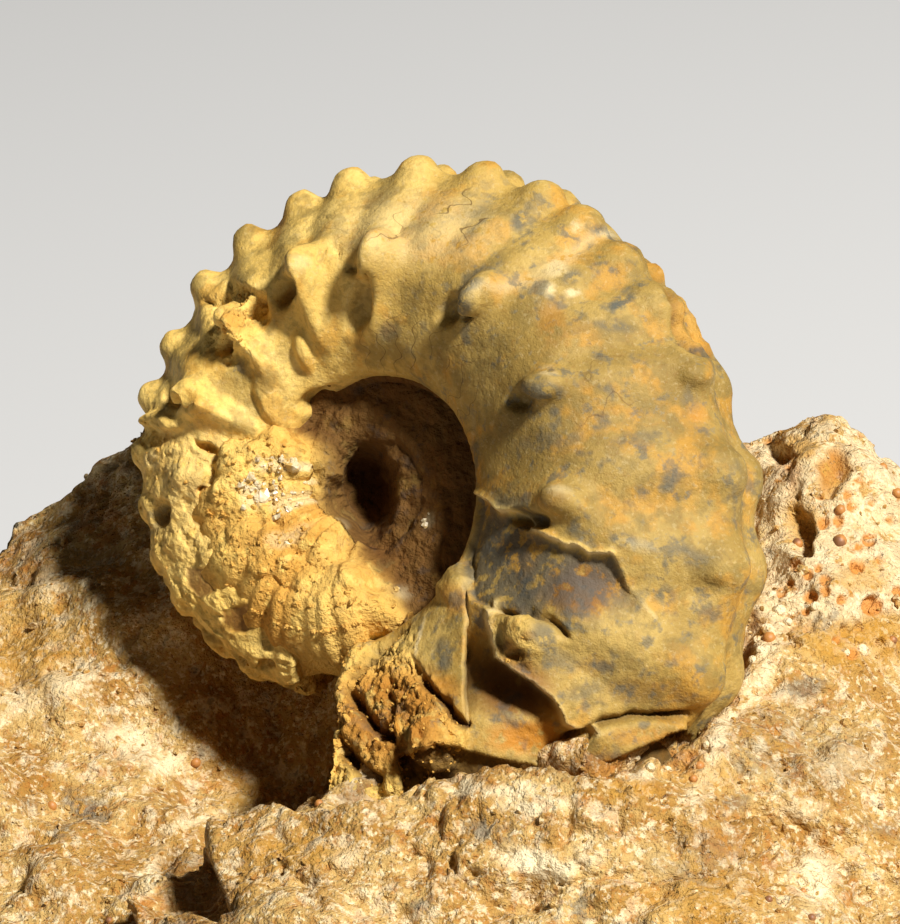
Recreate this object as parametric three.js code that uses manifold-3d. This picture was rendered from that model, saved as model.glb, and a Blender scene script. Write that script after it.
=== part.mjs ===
// An ammonite fossil standing in its matrix: a coiled, ribbed and knobbed shell mould, sunk edge-on
// in a loose block of oolitic limestone.
// Millimetres, +Z up. The origin is the middle of the block's flat base, and the fossil faces -Y.
import * as THREE from "three";
import { mergeVertices } from "three/addons/utils/BufferGeometryUtils.js";
import Module from "manifold-3d";

const wasm = await Module();
wasm.setup();

// Coil. Polar angles are degrees in the coil plane, anticlockwise seen on the near flank, from the
// level line. The shell grows clockwise, so its broken end has the lowest angle.
const EXPANSION = 2.3; // growth of every size in one whole turn
const RIM_RADIUS = 19.65; // from the coil axis to the ventral knobs, at the broken end
const END_ANGLE = -71; // the broken end of the last whorl
const WHORL_SPAN = 340; // a tube a little short of a turn, so that it never meets itself
const COIL_CENTRE = new THREE.Vector3(-3.0, 2.6, 22.35);
const AXIS_RISE = 30; // the coil axis points this far above level
const AXIS_TURN = 31; // and this far to the left of -Y

// Half of the whorl's section, [radial, axial] with the rim radius as 1: from the inner side, up the
// umbilical wall, over the flank and down to the middle of the venter.
const HALF_SECTION = [
  [0.36, 0],
  [0.35, 0.05],
  [0.335, 0.11],
  [0.33, 0.17],
  [0.365, 0.232],
  [0.5, 0.288],
  [0.66, 0.3],
  [0.82, 0.205],
  [0.915, 0.118],
  [0.955, 0.078],
  [0.965, 0],
];
const LATERAL_POINT = 6; // places in HALF_SECTION of the two rows of knobs
const VENTRAL_POINT = 9;
const SECTION_SAMPLES = 20; // along the curve between two points of the section

// Knobs and ribs. Heights and widths are shares of the local rim radius.
const LATERAL_ANGLES = [-74, -47, -20, 7, 32, 61, 92, 115, 142, 168, 194, 220, 246];
const VENTRAL_ANGLES = [
  -70, -56, -42, -27, -13, 2, 15, 31, 42, 52, 62, 71, 83, 96, 110, 121, 134, 147, 161, 173, 186, 199, 212,
  225, 238, 251, 264,
];
const LATERAL_KNOB = { height: 0.072, halfAngle: 3.2, halfWidth: 0.05 };
const VENTRAL_KNOB = { height: 0.06, halfAngle: 2.8, halfWidth: 0.06, radial: 0.95, axial: 0.3 };
const PRIMARY_RIB = { height: 0.024, halfAngle: 3.6 }; // umbilical wall to lateral knob
const SECONDARY_RIB = { height: 0.016, halfAngle: 3.2, gone: -10, full: 95 }; // lateral to ventral knob
// Where the ribs rise and fade, as shares of the way from the inner side of the whorl to the venter
const WALL_START = 0.22;
const WALL_END = 0.4;
const RIB_FADE = 0.09;
const VENTER_START = 0.96;

// Wear. The oldest stretch has crumbled, and a rough crust covers the broken end.
const CRUMBLED = { from: 182, to: 300, blend: 14, smoothing: 0.75, lump: 0.5 };
const CRUSTED = { from: -90, to: -58, blend: 12, smoothing: 0.7, lump: 0.55 };
const LUMP_SIZE = 1.7;
const LUMP_OFFSET = 40; // keeps the two flanks' lumps apart in the noise
const LUMP_START = 0.25; // lumps are whole from here across the flank
const HOLLOW = { angle: -37, across: 0.69, depth: 0.075, halfAngle: 6, halfWidth: 0.1 };

// Faceting
const RING_STEP = 3.1; // degrees between the rings of the last whorl
const AROUND = 24; // corners of a ring
const INNER_RING_STEP = 8.6;
const INNER_AROUND = 14;
const WHORL_OVERLAP = 12; // degrees that the inner whorl runs into the last one
const INNER_SHRINK = 0.05; // the inner whorl lies this far under the last one where they overlap
const CORE_RADIUS = 4.2; // the first whorls, too worn to tell apart
const CORE_SEGMENTS = 14;
const CORE_RINGS = 8;
const INNER_FLATNESS = 0.72; // the worn inner whorl, across the coil
const CORE_FLATNESS = 0.3;

// Matrix block
const BLOCK_WIDTH = 50;
const BLOCK_DEPTH = 46;
const BLOCK_CORNER_POWER = 3.4; // a superellipse: 2 is round, large is square
const FOOT_INSET = 0.93; // the base is this share of the block's outline
const OUTLINE_WANDER = { share: 0.05, waves: 2.2, start: 5, level: 3 }; // the outline's slow in and out
const SEAT_GAP = 0.45;
const SEAT_COARSENESS = 3; // the seat has this many times fewer rings than the fossil
const SEAT_END_ANGLE = 4; // room past the broken end, degrees
// Heights of the block's broken top, [x, y, z]
const TOP_HEIGHTS = [
  [-20, 16, 12.6],
  [-14, 15, 17.6],
  [-21, 8, 11.5],
  [-15.2, 8.5, 18],
  [-18, 2, 13],
  [-14, -3, 11.6],
  [-18, -6, 11],
  [-7.5, -4.5, 8.4],
  [-11, -9.5, 10.6],
  [-17, -13, 9.4],
  [-11.5, -16.5, 10],
  [-7, -12.5, 14.4],
  [-2.5, -10.8, 17.2],
  [2, -11.4, 17.2],
  [7, -11.6, 18.4],
  [-2, -17, 13.6],
  [7, -17.5, 14.4],
  [17, -17, 12.6],
  [11, -8.6, 19.4],
  [15, -8, 18.4],
  [20.5, -6, 16.4],
  [14, 0, 21],
  [12.4, 7, 22],
  [17, 8.4, 23],
  [22, 9, 17.5],
  [15, 18, 16],
  [0, 18, 15],
  [2, 6, 19],
];
const TOP_REACH = 3.4; // how far a height is felt
const FAR_WEIGHT = 1e-6; // and how much it counts everywhere
const ROCK_SPOKES = 58;
const TOP_RINGS = 14;
const SIDE_HEIGHTS = [0.16, 0.45, 0.75]; // shares of the way from base to rim
const SIDE_BULGE = [1.0, 1.015, 1.0];
const RIM_ROUND = 0.96;
const ROCK_LUMPS = [
  { size: 7.5, height: 1.2 },
  { size: 3.1, height: 0.7 },
];
const LUMP_LEVEL = 9; // where the lumps start in the noise
const LUMP_SIDEWAYS = 0.6; // how much of a lump shows on the sides
const LUMP_UPWARDS = 0.8; // and on the top, above LUMP_FLOOR
const LUMP_FLOOR = 4;

const COLOURS = { ammonite: 0xb98a3c, matrix: 0xc2a06a };
const ROUGHNESS = { ammonite: 0.75, matrix: 0.9 };

const radians = THREE.MathUtils.degToRad;
const bell = (distance, halfWidth) => Math.exp(-Math.LN2 * (distance / halfWidth) ** 2);

const fade = THREE.MathUtils.smoothstep;

// Frequencies and gain that scatter a sine into repeatable random numbers
const SCATTER = { x: 127.1, y: 311.7, z: 74.7, gain: 43758.5453 };

// Repeatable smooth noise, about -1 to 1, that changes over a length of 1
function noise(x, y, z) {
  const corner = (i, j, k) => {
    const wave = Math.sin(i * SCATTER.x + j * SCATTER.y + k * SCATTER.z) * SCATTER.gain;
    return 2 * (wave - Math.floor(wave)) - 1;
  };
  const [i, j, k] = [Math.floor(x), Math.floor(y), Math.floor(z)];
  const [u, v, w] = [x - i, y - j, z - k].map((t) => t * t * (3 - 2 * t));
  const mix = THREE.MathUtils.lerp;
  const plane = (k1) =>
    mix(
      mix(corner(i, j, k1), corner(i + 1, j, k1), u),
      mix(corner(i, j + 1, k1), corner(i + 1, j + 1, k1), u),
      v,
    );
  return mix(plane(k), plane(k + 1), w);
}

// 1 inside a worn stretch of the whorl and 0 outside it
const wearAt = (stretch, angle) =>
  fade(angle, stretch.from - stretch.blend, stretch.from) *
  (1 - fade(angle, stretch.to, stretch.to + stretch.blend));

// The whorl's closed section, and how far round the half section its two rows of knobs lie
function whorlSection() {
  const mirrored = HALF_SECTION.slice(1, -1)
    .reverse()
    .map(([radial, axial]) => [radial, -axial]);
  const corners = [...HALF_SECTION, ...mirrored];
  const points = corners.map(([radial, axial]) => new THREE.Vector3(radial, axial, 0));
  const curve = new THREE.CatmullRomCurve3(points, true, "centripetal");
  const lengths = curve.getLengths(points.length * SECTION_SAMPLES);
  const whole = lengths[lengths.length - 1];
  const acrossOf = (place) => (2 * lengths[place * SECTION_SAMPLES]) / whole;
  return { curve, lateral: acrossOf(LATERAL_POINT), ventral: acrossOf(VENTRAL_POINT) };
}
const SECTION = whorlSection();

// Heights of the ribs with their lateral knobs and of the ventral knobs, as shares of the rim radius.
// across runs from 0 on the inner side of the whorl to 1 on the venter, the same on both flanks, and
// reach widens every rib by that many degrees.
function relief(angle, across, reach) {
  const nearest = (angles) => Math.max(0, Math.min(...angles.map((a) => Math.abs(a - angle))) - reach);
  const toLateral = nearest(LATERAL_ANGLES);
  const toVentral = nearest(VENTRAL_ANGLES);
  const { lateral, ventral } = SECTION;
  const pastLateral = fade(across, lateral, lateral + RIB_FADE);
  const onWall = fade(across, WALL_START, WALL_END) * (1 - pastLateral);
  const onFlank = pastLateral * (1 - fade(across, VENTER_START, 1));
  const lateralKnob =
    bell(toLateral, LATERAL_KNOB.halfAngle) * bell(across - lateral, LATERAL_KNOB.halfWidth);
  const ventralKnob =
    bell(toVentral, VENTRAL_KNOB.halfAngle) * bell(across - ventral, VENTRAL_KNOB.halfWidth);
  const primary = bell(toLateral, PRIMARY_RIB.halfAngle) * onWall;
  const older = fade(angle, SECONDARY_RIB.gone, SECONDARY_RIB.full);
  const secondary = bell(toVentral, SECONDARY_RIB.halfAngle) * onFlank * older;
  const raised = PRIMARY_RIB.height * primary + SECONDARY_RIB.height * secondary;
  return { ribs: LATERAL_KNOB.height * lateralKnob + raised, spikes: VENTRAL_KNOB.height * ventralKnob };
}

// Depth of the hollow in the near flank, as a share of the rim radius
const hollowAt = (angle, across) =>
  HOLLOW.depth * bell(angle - HOLLOW.angle, HOLLOW.halfAngle) * bell(across - HOLLOW.across, HOLLOW.halfWidth);

// How much the worn stretches have lost of their ribs, and how lumpy they are
function wornAt(angle) {
  const crumbled = wearAt(CRUMBLED, angle);
  const crusted = wearAt(CRUSTED, angle);
  return {
    kept: 1 - CRUMBLED.smoothing * crumbled - CRUSTED.smoothing * crusted,
    lumpy: CRUMBLED.lump * crumbled + CRUSTED.lump * crusted,
  };
}

// A point on the whorl, a share of the way round its section, in the coil's own frame
function whorlPoint(angle, around, { swell, reach, flatness, knobbed }) {
  const scale = RIM_RADIUS * EXPANSION ** ((END_ANGLE - angle) / 360);
  const near = around < 0.5;
  const side = near ? 1 : -1;
  const across = 1 - Math.abs(1 - 2 * around);
  const place = SECTION.curve.getPointAt(around);
  const along = SECTION.curve.getTangentAt(around);
  const turn = radians(angle);
  const spread = scale / LUMP_SIZE;
  const lump = noise(place.x * spread, place.y * spread + LUMP_OFFSET, turn * spread);
  const { kept, lumpy } = wornAt(angle);
  const { ribs, spikes } = knobbed ? relief(angle, across, reach) : { ribs: 0, spikes: 0 };
  const hollow = knobbed && near ? hollowAt(angle, across) : 0;
  const raised = scale * (kept * ribs - hollow) + lumpy * lump * Math.min(1, across / LUMP_START) + swell;
  const spike = scale * kept * spikes;
  const radial = place.x * scale - along.y * raised + VENTRAL_KNOB.radial * spike;
  const axial = flatness * (place.y * scale + along.x * raised + side * VENTRAL_KNOB.axial * spike);
  return [radial * Math.cos(turn), radial * Math.sin(turn), axial];
}

// A closed tube of whorl, from an older angle to a younger one, in the coil's own frame
function whorlTube({ older, younger, ringStep, around, swell = 0, reach = 0, flatness = 1, knobbed = true }) {
  const rings = Math.round((older - younger) / ringStep);
  const positions = [];
  const index = [];
  for (let ring = 0; ring <= rings; ring++) {
    const angle = THREE.MathUtils.lerp(older, younger, ring / rings);
    for (let corner = 0; corner < around; corner++)
      positions.push(...whorlPoint(angle, corner / around, { swell, reach, flatness, knobbed }));
  }
  for (let ring = 0; ring < rings; ring++)
    for (let corner = 0; corner < around; corner++) {
      const a = ring * around + corner;
      const b = ring * around + ((corner + 1) % around);
      index.push(a, a + around, b, b, a + around, b + around);
    }
  closeEnd(positions, index, 0, around, false);
  closeEnd(positions, index, rings * around, around, true);
  return new THREE.BufferGeometry()
    .setAttribute("position", new THREE.Float32BufferAttribute(positions, 3))
    .setIndex(index);
}

// A fan over one open end of a tube
function closeEnd(positions, index, first, around, forwards) {
  const middle = positions.length / 3;
  const mean = [0, 1, 2].map((axis) => {
    let sum = 0;
    for (let corner = 0; corner < around; corner++) sum += positions[3 * (first + corner) + axis];
    return sum / around;
  });
  positions.push(...mean);
  for (let corner = 0; corner < around; corner++) {
    const a = first + corner;
    const b = first + ((corner + 1) % around);
    index.push(...(forwards ? [middle, b, a] : [middle, a, b]));
  }
}

// Height of the block's top over a point, before its small lumps
function topHeight(x, y) {
  let total = 0;
  let weights = 0;
  for (const [px, py, pz] of TOP_HEIGHTS) {
    const weight = Math.exp(-((x - px) ** 2 + (y - py) ** 2) / (2 * TOP_REACH ** 2)) + FAR_WEIGHT;
    total += weight * pz;
    weights += weight;
  }
  return total / weights;
}

function rockLump(x, y, z) {
  let total = 0;
  for (const { size, height } of ROCK_LUMPS)
    total += height * noise(x / size, y / size, z / size + LUMP_LEVEL);
  return total;
}

// Moves a point of the block by its lumps, but not on the base
function lumped([x, y, z]) {
  const lump = z > 0 ? rockLump(x, y, z) : 0;
  const sideways = 1 + (LUMP_SIDEWAYS * lump) / Math.hypot(x, y, LUMP_FLOOR);
  return [x * sideways, y * sideways, z + (z > LUMP_FLOOR ? LUMP_UPWARDS * lump : 0)];
}

// The outline of the block, seen from above, in one direction
function outlineAt(turn) {
  const [c, s] = [Math.cos(turn), Math.sin(turn)];
  const wide = Math.abs((2 * c) / BLOCK_WIDTH) ** BLOCK_CORNER_POWER;
  const deep = Math.abs((2 * s) / BLOCK_DEPTH) ** BLOCK_CORNER_POWER;
  const { share, waves, start, level } = OUTLINE_WANDER;
  return (wide + deep) ** (-1 / BLOCK_CORNER_POWER) * (1 + share * noise(waves * c + start, waves * s, level));
}

// The block before the fossil's seat is cut: rings from the middle of the base, out, up and over the top
function rockBlock() {
  const rows = [];
  const row = (share, heightAt) =>
    rows.push(
      Array.from({ length: ROCK_SPOKES }, (_, spoke) => {
        const turn = (2 * Math.PI * spoke) / ROCK_SPOKES;
        const reach = share * outlineAt(turn);
        const [x, y] = [reach * Math.cos(turn), reach * Math.sin(turn)];
        return [x, y, heightAt(x, y)];
      }),
    );
  row(FOOT_INSET, () => 0);
  SIDE_HEIGHTS.forEach((level, i) => {
    row(SIDE_BULGE[i], (x, y) => level * topHeight(RIM_ROUND * x, RIM_ROUND * y));
  });
  for (let ring = TOP_RINGS; ring > 0; ring--) row((RIM_ROUND * ring) / TOP_RINGS, topHeight);
  const positions = [0, 0, 0, ...rows.flat().map(lumped).flat(), 0, 0, topHeight(0, 0)];
  const last = positions.length / 3 - 1;
  const index = [];
  rows.forEach((_, level) => {
    for (let spoke = 0; spoke < ROCK_SPOKES; spoke++) {
      const a = 1 + level * ROCK_SPOKES + spoke;
      const b = 1 + level * ROCK_SPOKES + ((spoke + 1) % ROCK_SPOKES);
      if (level === 0) index.push(0, b, a);
      if (level < rows.length - 1) index.push(a, b, a + ROCK_SPOKES, b, b + ROCK_SPOKES, a + ROCK_SPOKES);
      else index.push(a, b, last);
    }
  });
  return fitToBlock(
    new THREE.BufferGeometry()
      .setAttribute("position", new THREE.Float32BufferAttribute(positions, 3))
      .setIndex(index),
  );
}

// Centres a block on the origin and brings it to its stated width and depth
function fitToBlock(geometry) {
  geometry.computeBoundingBox();
  const { min, max } = geometry.boundingBox;
  return geometry
    .translate(-(min.x + max.x) / 2, -(min.y + max.y) / 2, 0)
    .scale(BLOCK_WIDTH / (max.x - min.x), BLOCK_DEPTH / (max.y - min.y), 1);
}

function solidOf(geometry) {
  const bare = new THREE.BufferGeometry()
    .setAttribute("position", geometry.getAttribute("position"))
    .setIndex(geometry.index);
  const merged = mergeVertices(bare, 1e-4);
  return new wasm.Manifold(
    new wasm.Mesh({
      numProp: 3,
      vertProperties: merged.getAttribute("position").array,
      triVerts: new Uint32Array(merged.index.array),
    }),
  );
}

function geometryOf(solid) {
  const mesh = solid.getMesh();
  const geometry = new THREE.BufferGeometry()
    .setAttribute("position", new THREE.BufferAttribute(mesh.vertProperties, 3))
    .setIndex(new THREE.BufferAttribute(mesh.triVerts, 1));
  geometry.computeVertexNormals();
  return geometry;
}

const stone = (name) => new THREE.MeshStandardMaterial({ color: COLOURS[name], roughness: ROUGHNESS[name] });

// The fossil: the last whorl, the whorl inside it and the worn first whorls, grown together. A swollen
// copy, longer at its broken end, is the seat it leaves in the block.
function fossil({ swell = 0, endRoom = 0, coarseness = 1 } = {}) {
  const oldest = END_ANGLE + WHORL_SPAN;
  const lastWhorl = whorlTube({
    older: oldest,
    younger: END_ANGLE - endRoom,
    ringStep: RING_STEP * coarseness,
    around: AROUND,
    reach: (RING_STEP * (coarseness - 1)) / 2,
    swell,
  });
  const innerWhorl = whorlTube({
    older: oldest - WHORL_OVERLAP + WHORL_SPAN,
    younger: oldest - WHORL_OVERLAP,
    ringStep: INNER_RING_STEP,
    around: INNER_AROUND,
    swell: swell - INNER_SHRINK,
    flatness: INNER_FLATNESS,
    knobbed: false,
  });
  const core = new THREE.SphereGeometry(CORE_RADIUS + swell, CORE_SEGMENTS, CORE_RINGS);
  core.scale(1, 1, CORE_FLATNESS);
  return solidOf(lastWhorl).add(solidOf(innerWhorl)).add(solidOf(core));
}

const ammonite = new THREE.Mesh(geometryOf(fossil()), stone("ammonite"));
ammonite.name = "ammonite";
const coil = new THREE.Group();
coil.rotation.set(radians(90 - AXIS_RISE), 0, radians(-AXIS_TURN), "ZXY");
coil.position.copy(COIL_CENTRE);
coil.add(ammonite);

// The block, with a seat that follows the fossil
coil.updateMatrixWorld(true);
const cast = fossil({ swell: SEAT_GAP, endRoom: SEAT_END_ANGLE, coarseness: SEAT_COARSENESS });
const seat = geometryOf(cast).applyMatrix4(coil.matrixWorld);
const block = solidOf(rockBlock()).subtract(solidOf(seat));
const matrix = new THREE.Mesh(geometryOf(block), stone("matrix"));
matrix.name = "matrix";

const specimen = new THREE.Group();
specimen.add(coil, matrix);

export default specimen;
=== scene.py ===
"""An ammonite fossil standing in its block of oolitic limestone.

The last whorl of the shell, the fill of its umbilicus, the block and the grains on it are separate pieces,
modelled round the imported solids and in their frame. Lengths below are millimetres and angles are degrees,
unless a name says otherwise, and every mesh is written in metres.
"""

import itertools
import logging
import math
from abc import ABC, abstractmethod
from collections.abc import Sequence
from dataclasses import dataclass, field
from enum import Enum
from typing import ClassVar

import bpy
import numpy as np
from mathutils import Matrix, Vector


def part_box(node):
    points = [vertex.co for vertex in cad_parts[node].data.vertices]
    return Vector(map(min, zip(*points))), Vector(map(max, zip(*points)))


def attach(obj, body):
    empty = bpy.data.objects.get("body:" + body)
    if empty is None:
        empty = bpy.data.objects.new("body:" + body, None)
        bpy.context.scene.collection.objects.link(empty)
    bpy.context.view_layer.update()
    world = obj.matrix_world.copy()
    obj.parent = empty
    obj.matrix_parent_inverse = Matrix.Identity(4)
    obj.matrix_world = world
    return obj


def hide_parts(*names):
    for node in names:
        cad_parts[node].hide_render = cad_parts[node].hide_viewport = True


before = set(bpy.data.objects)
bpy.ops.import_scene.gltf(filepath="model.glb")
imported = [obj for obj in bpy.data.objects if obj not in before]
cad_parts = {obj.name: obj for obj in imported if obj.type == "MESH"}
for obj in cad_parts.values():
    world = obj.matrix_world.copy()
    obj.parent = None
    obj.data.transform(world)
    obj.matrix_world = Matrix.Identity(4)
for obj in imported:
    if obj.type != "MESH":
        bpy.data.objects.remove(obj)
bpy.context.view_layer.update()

MM = 0.001
FULL_TURN = 360.0
LOG = logging.getLogger("ammonite")

Pixel = tuple[float, float]
Colour = tuple[float, float, float]


class Mask(str, Enum):
    """The masks that a mesh carries for its finish."""

    ROUGH = "rough"
    STAIN = "stain"
    PALE_AND_HIGHLIGHT = "pale"
    RUST = "rust"
    UMBER_AND_SHADE = "umber"
    SHADE = "shade"
    SUTURE = "suture"
    TONE = "tone"


class Slot(str, Enum):
    """The record's material slots."""

    FOSSIL = "fossil_stone"
    BLOCK = "oolitic_limestone"


def fade(value: np.ndarray, start: float, end: float) -> np.ndarray:
    """Smooth step from 0 at start to 1 at end.

    Args:
        value: What is compared with the two ends.
        start: Where the step begins.
        end: Where it is whole, above or below start.

    Returns:
        The step, from 0 to 1.
    """
    share = np.clip((value - start) / (end - start), 0, 1)
    return share * share * (3 - 2 * share)


def bell(distance: np.ndarray, half_width: float) -> np.ndarray:
    """Round bump that is 1 at no distance and a half at half_width."""
    return np.exp(-math.log(2) * (distance / half_width) ** 2)


class Noise:
    """Seeded smooth noise and cells over points in millimetres."""

    CORNERS = 256
    OCTAVE_SHIFT = 17.3
    FAR = 9.0

    def __init__(self, seed: int) -> None:
        """Draws the lattice values.

        Args:
            seed: Makes the noise repeatable.
        """
        draw = np.random.default_rng(seed)
        self.table = draw.permutation(self.CORNERS)
        self.values = draw.uniform(-1, 1, self.CORNERS)
        self.jitter = draw.uniform(0, 1, (self.CORNERS, 3))

    def _corner(self, lattice: np.ndarray) -> np.ndarray:
        """Index of the random value at whole-number lattice points."""
        first = self.table[lattice[..., 0] % self.CORNERS]
        second = self.table[(first + lattice[..., 1]) % self.CORNERS]
        return self.table[(second + lattice[..., 2]) % self.CORNERS]

    def smooth(self, points: np.ndarray, size: float) -> np.ndarray:
        """Smooth noise from about -1 to 1.

        Args:
            points: Places, three numbers each.
            size: Length over which the noise changes.

        Returns:
            One value for each point.
        """
        scaled = points / size
        low = np.floor(scaled).astype(int)
        part = scaled - low
        part = part**3 * (part * (part * 6 - 15) + 10)
        total = np.zeros(points.shape[:-1])
        for corner in itertools.product((0, 1), repeat=3):
            weight = np.prod(np.where(np.array(corner) == 1, part, 1 - part), axis=-1)
            total += weight * self.values[self._corner(low + corner)]
        return total

    def fractal(self, points: np.ndarray, size: float, octaves: int = 4) -> np.ndarray:
        """Smooth noise with finer and weaker noise laid over it.

        Args:
            points: Places, three numbers each.
            size: Length over which the coarsest noise changes.
            octaves: How many layers there are.

        Returns:
            One value for each point, about -1 to 1.
        """
        layers = [self.smooth(points + self.OCTAVE_SHIFT * i, size / 2**i) / 2**i for i in range(octaves)]
        return np.sum(layers, axis=0)

    def cells(self, points: np.ndarray, size: float) -> tuple[np.ndarray, np.ndarray]:
        """Distances to the nearest and second nearest of scattered seeds.

        Args:
            points: Places, three numbers each.
            size: Mean distance between seeds.

        Returns:
            The two distances, in sizes.
        """
        scaled = points / size
        low = np.floor(scaled).astype(int)
        nearest = np.full(points.shape[:-1], self.FAR)
        second = nearest.copy()
        for offset in itertools.product((-1, 0, 1), repeat=3):
            cell = low + offset
            distance = np.linalg.norm(scaled - cell - self.jitter[self._corner(cell)], axis=-1)
            second = np.minimum(second, np.maximum(nearest, distance))
            nearest = np.minimum(nearest, distance)
        return nearest, second


@dataclass(frozen=True)
class PhotoView:
    """The reference view: where a point of the specimen falls in the 900 by 924 pixel frame."""

    width: int = 900
    height: int = 924
    elevation: float = 25.0
    target: tuple[float, float, float] = (0.0, 3.0, 23.36)
    distance: float = 150.0
    pixels_per_mm: float = 24.6
    sensor_mm: float = 36.0

    def axes(self) -> np.ndarray:
        """The view's right, up and back directions, one in each row."""
        rise = math.radians(self.elevation)
        up = (0.0, math.sin(rise), math.cos(rise))
        back = (0.0, -math.cos(rise), math.sin(rise))
        return np.array([(1.0, 0.0, 0.0), up, back])

    def pixels(self, points: np.ndarray) -> np.ndarray:
        """Projects points into the frame.

        Args:
            points: Places in millimetres, three numbers each.

        Returns:
            Pixel places, two numbers each, from the frame's upper left corner.
        """
        across, up, towards = np.moveaxis((points - self.target) @ self.axes().T, -1, 0)
        scale = self.pixels_per_mm * self.distance / (self.distance - towards)
        return np.stack([self.width / 2 + scale * across, self.height / 2 - scale * up], axis=-1)

    def place_camera(self) -> None:
        """Adds the camera and makes it the scene's."""
        eye = np.array(self.target) + self.distance * self.axes()[2]
        bpy.ops.object.camera_add(location=eye * MM, rotation=(math.radians(90 - self.elevation), 0, 0))
        camera = bpy.context.object
        camera.name = "photo_camera"
        long_side = max(self.width, self.height) / self.pixels_per_mm
        camera.data.sensor_width = self.sensor_mm
        camera.data.lens = self.sensor_mm * self.distance / long_side
        camera.data.clip_start = 0.01
        bpy.context.scene.camera = camera


@dataclass(frozen=True)
class Spot:
    """A soft oval in the reference frame, in pixels, with its turn and its strength."""

    x: float
    y: float
    wide: float
    high: float
    strength: float = 1.0
    turn: float = 0.0


class Tracing:
    """Shapes traced in the reference frame, laid on the points of a surface that face the camera."""

    RAGGED_SEED = 5
    RAGGED_SIZE = 0.9
    TURNED_AWAY, TURNED_TOWARDS = 0.02, 0.22
    SPOT_CORE, SPOT_EDGE = 0.45, 1.25
    FAR = 1e6

    def __init__(self, points: np.ndarray, normals: np.ndarray, view: PhotoView, wobble: float = 3.0) -> None:
        """Projects the surface.

        Args:
            points: The surface's points in millimetres.
            normals: Its normals.
            view: The view that the shapes were traced in.
            wobble: How ragged the traced edges come out, in pixels.
        """
        ragged = Noise(self.RAGGED_SEED)
        shift = [ragged.fractal(points + 50 * axis, self.RAGGED_SIZE, 3) for axis in range(2)]
        self.places = view.pixels(points) + wobble * np.stack(shift, axis=-1)
        self.facing = fade(normals @ view.axes()[2], self.TURNED_AWAY, self.TURNED_TOWARDS)

    def spots(self, spots: Sequence[Spot]) -> np.ndarray:
        """Soft ovals.

        Args:
            spots: The ovals.

        Returns:
            The strongest oval at each point, from 0 to 1.
        """
        strongest = np.zeros(len(self.places))
        for spot in spots:
            cosine, sine = math.cos(math.radians(spot.turn)), math.sin(math.radians(spot.turn))
            right, down = (self.places - (spot.x, spot.y)).T
            along = (cosine * right + sine * down) / spot.wide
            beside = (cosine * down - sine * right) / spot.high
            oval = 1 - fade(np.hypot(along, beside), self.SPOT_CORE, self.SPOT_EDGE)
            strongest = np.maximum(strongest, spot.strength * oval)
        return strongest * self.facing

    def reach(self, path: Sequence[Pixel]) -> np.ndarray:
        """Distance of each point from a path, in pixels."""
        nearest = np.full(len(self.places), self.FAR)
        for start, end in itertools.pairwise(np.array(path, float)):
            step = end - start
            share = np.clip((self.places - start) @ step / max(step @ step, 1e-9), 0, 1)
            nearest = np.minimum(nearest, np.linalg.norm(self.places - start - share[:, None] * step, axis=1))
        return nearest

    def line(self, path: Sequence[Pixel], half_width: float) -> np.ndarray:
        """A soft line along a path.

        Args:
            path: The path's corners.
            half_width: Where the line is half as strong, in pixels.

        Returns:
            The line's strength at each point, from 0 to 1.
        """
        return bell(self.reach(path), half_width) * self.facing

    def area(self, outline: Sequence[Pixel], soft: float = 2.0) -> np.ndarray:
        """A filled outline.

        Args:
            outline: The outline's corners.
            soft: Half the width of its edge, in pixels.

        Returns:
            1 inside, 0 outside.
        """
        corners = np.array([*outline, outline[0]], float)
        inside = np.zeros(len(self.places), bool)
        x, y = self.places.T
        for (x0, y0), (x1, y1) in itertools.pairwise(corners):
            if y0 == y1:
                continue
            crosses = (y0 > y) != (y1 > y)
            inside ^= crosses & (x < x0 + (y - y0) * (x1 - x0) / (y1 - y0))
        depth = np.where(inside, 1, -1) * self.reach(corners)
        return fade(depth, -soft, soft) * self.facing


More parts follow.
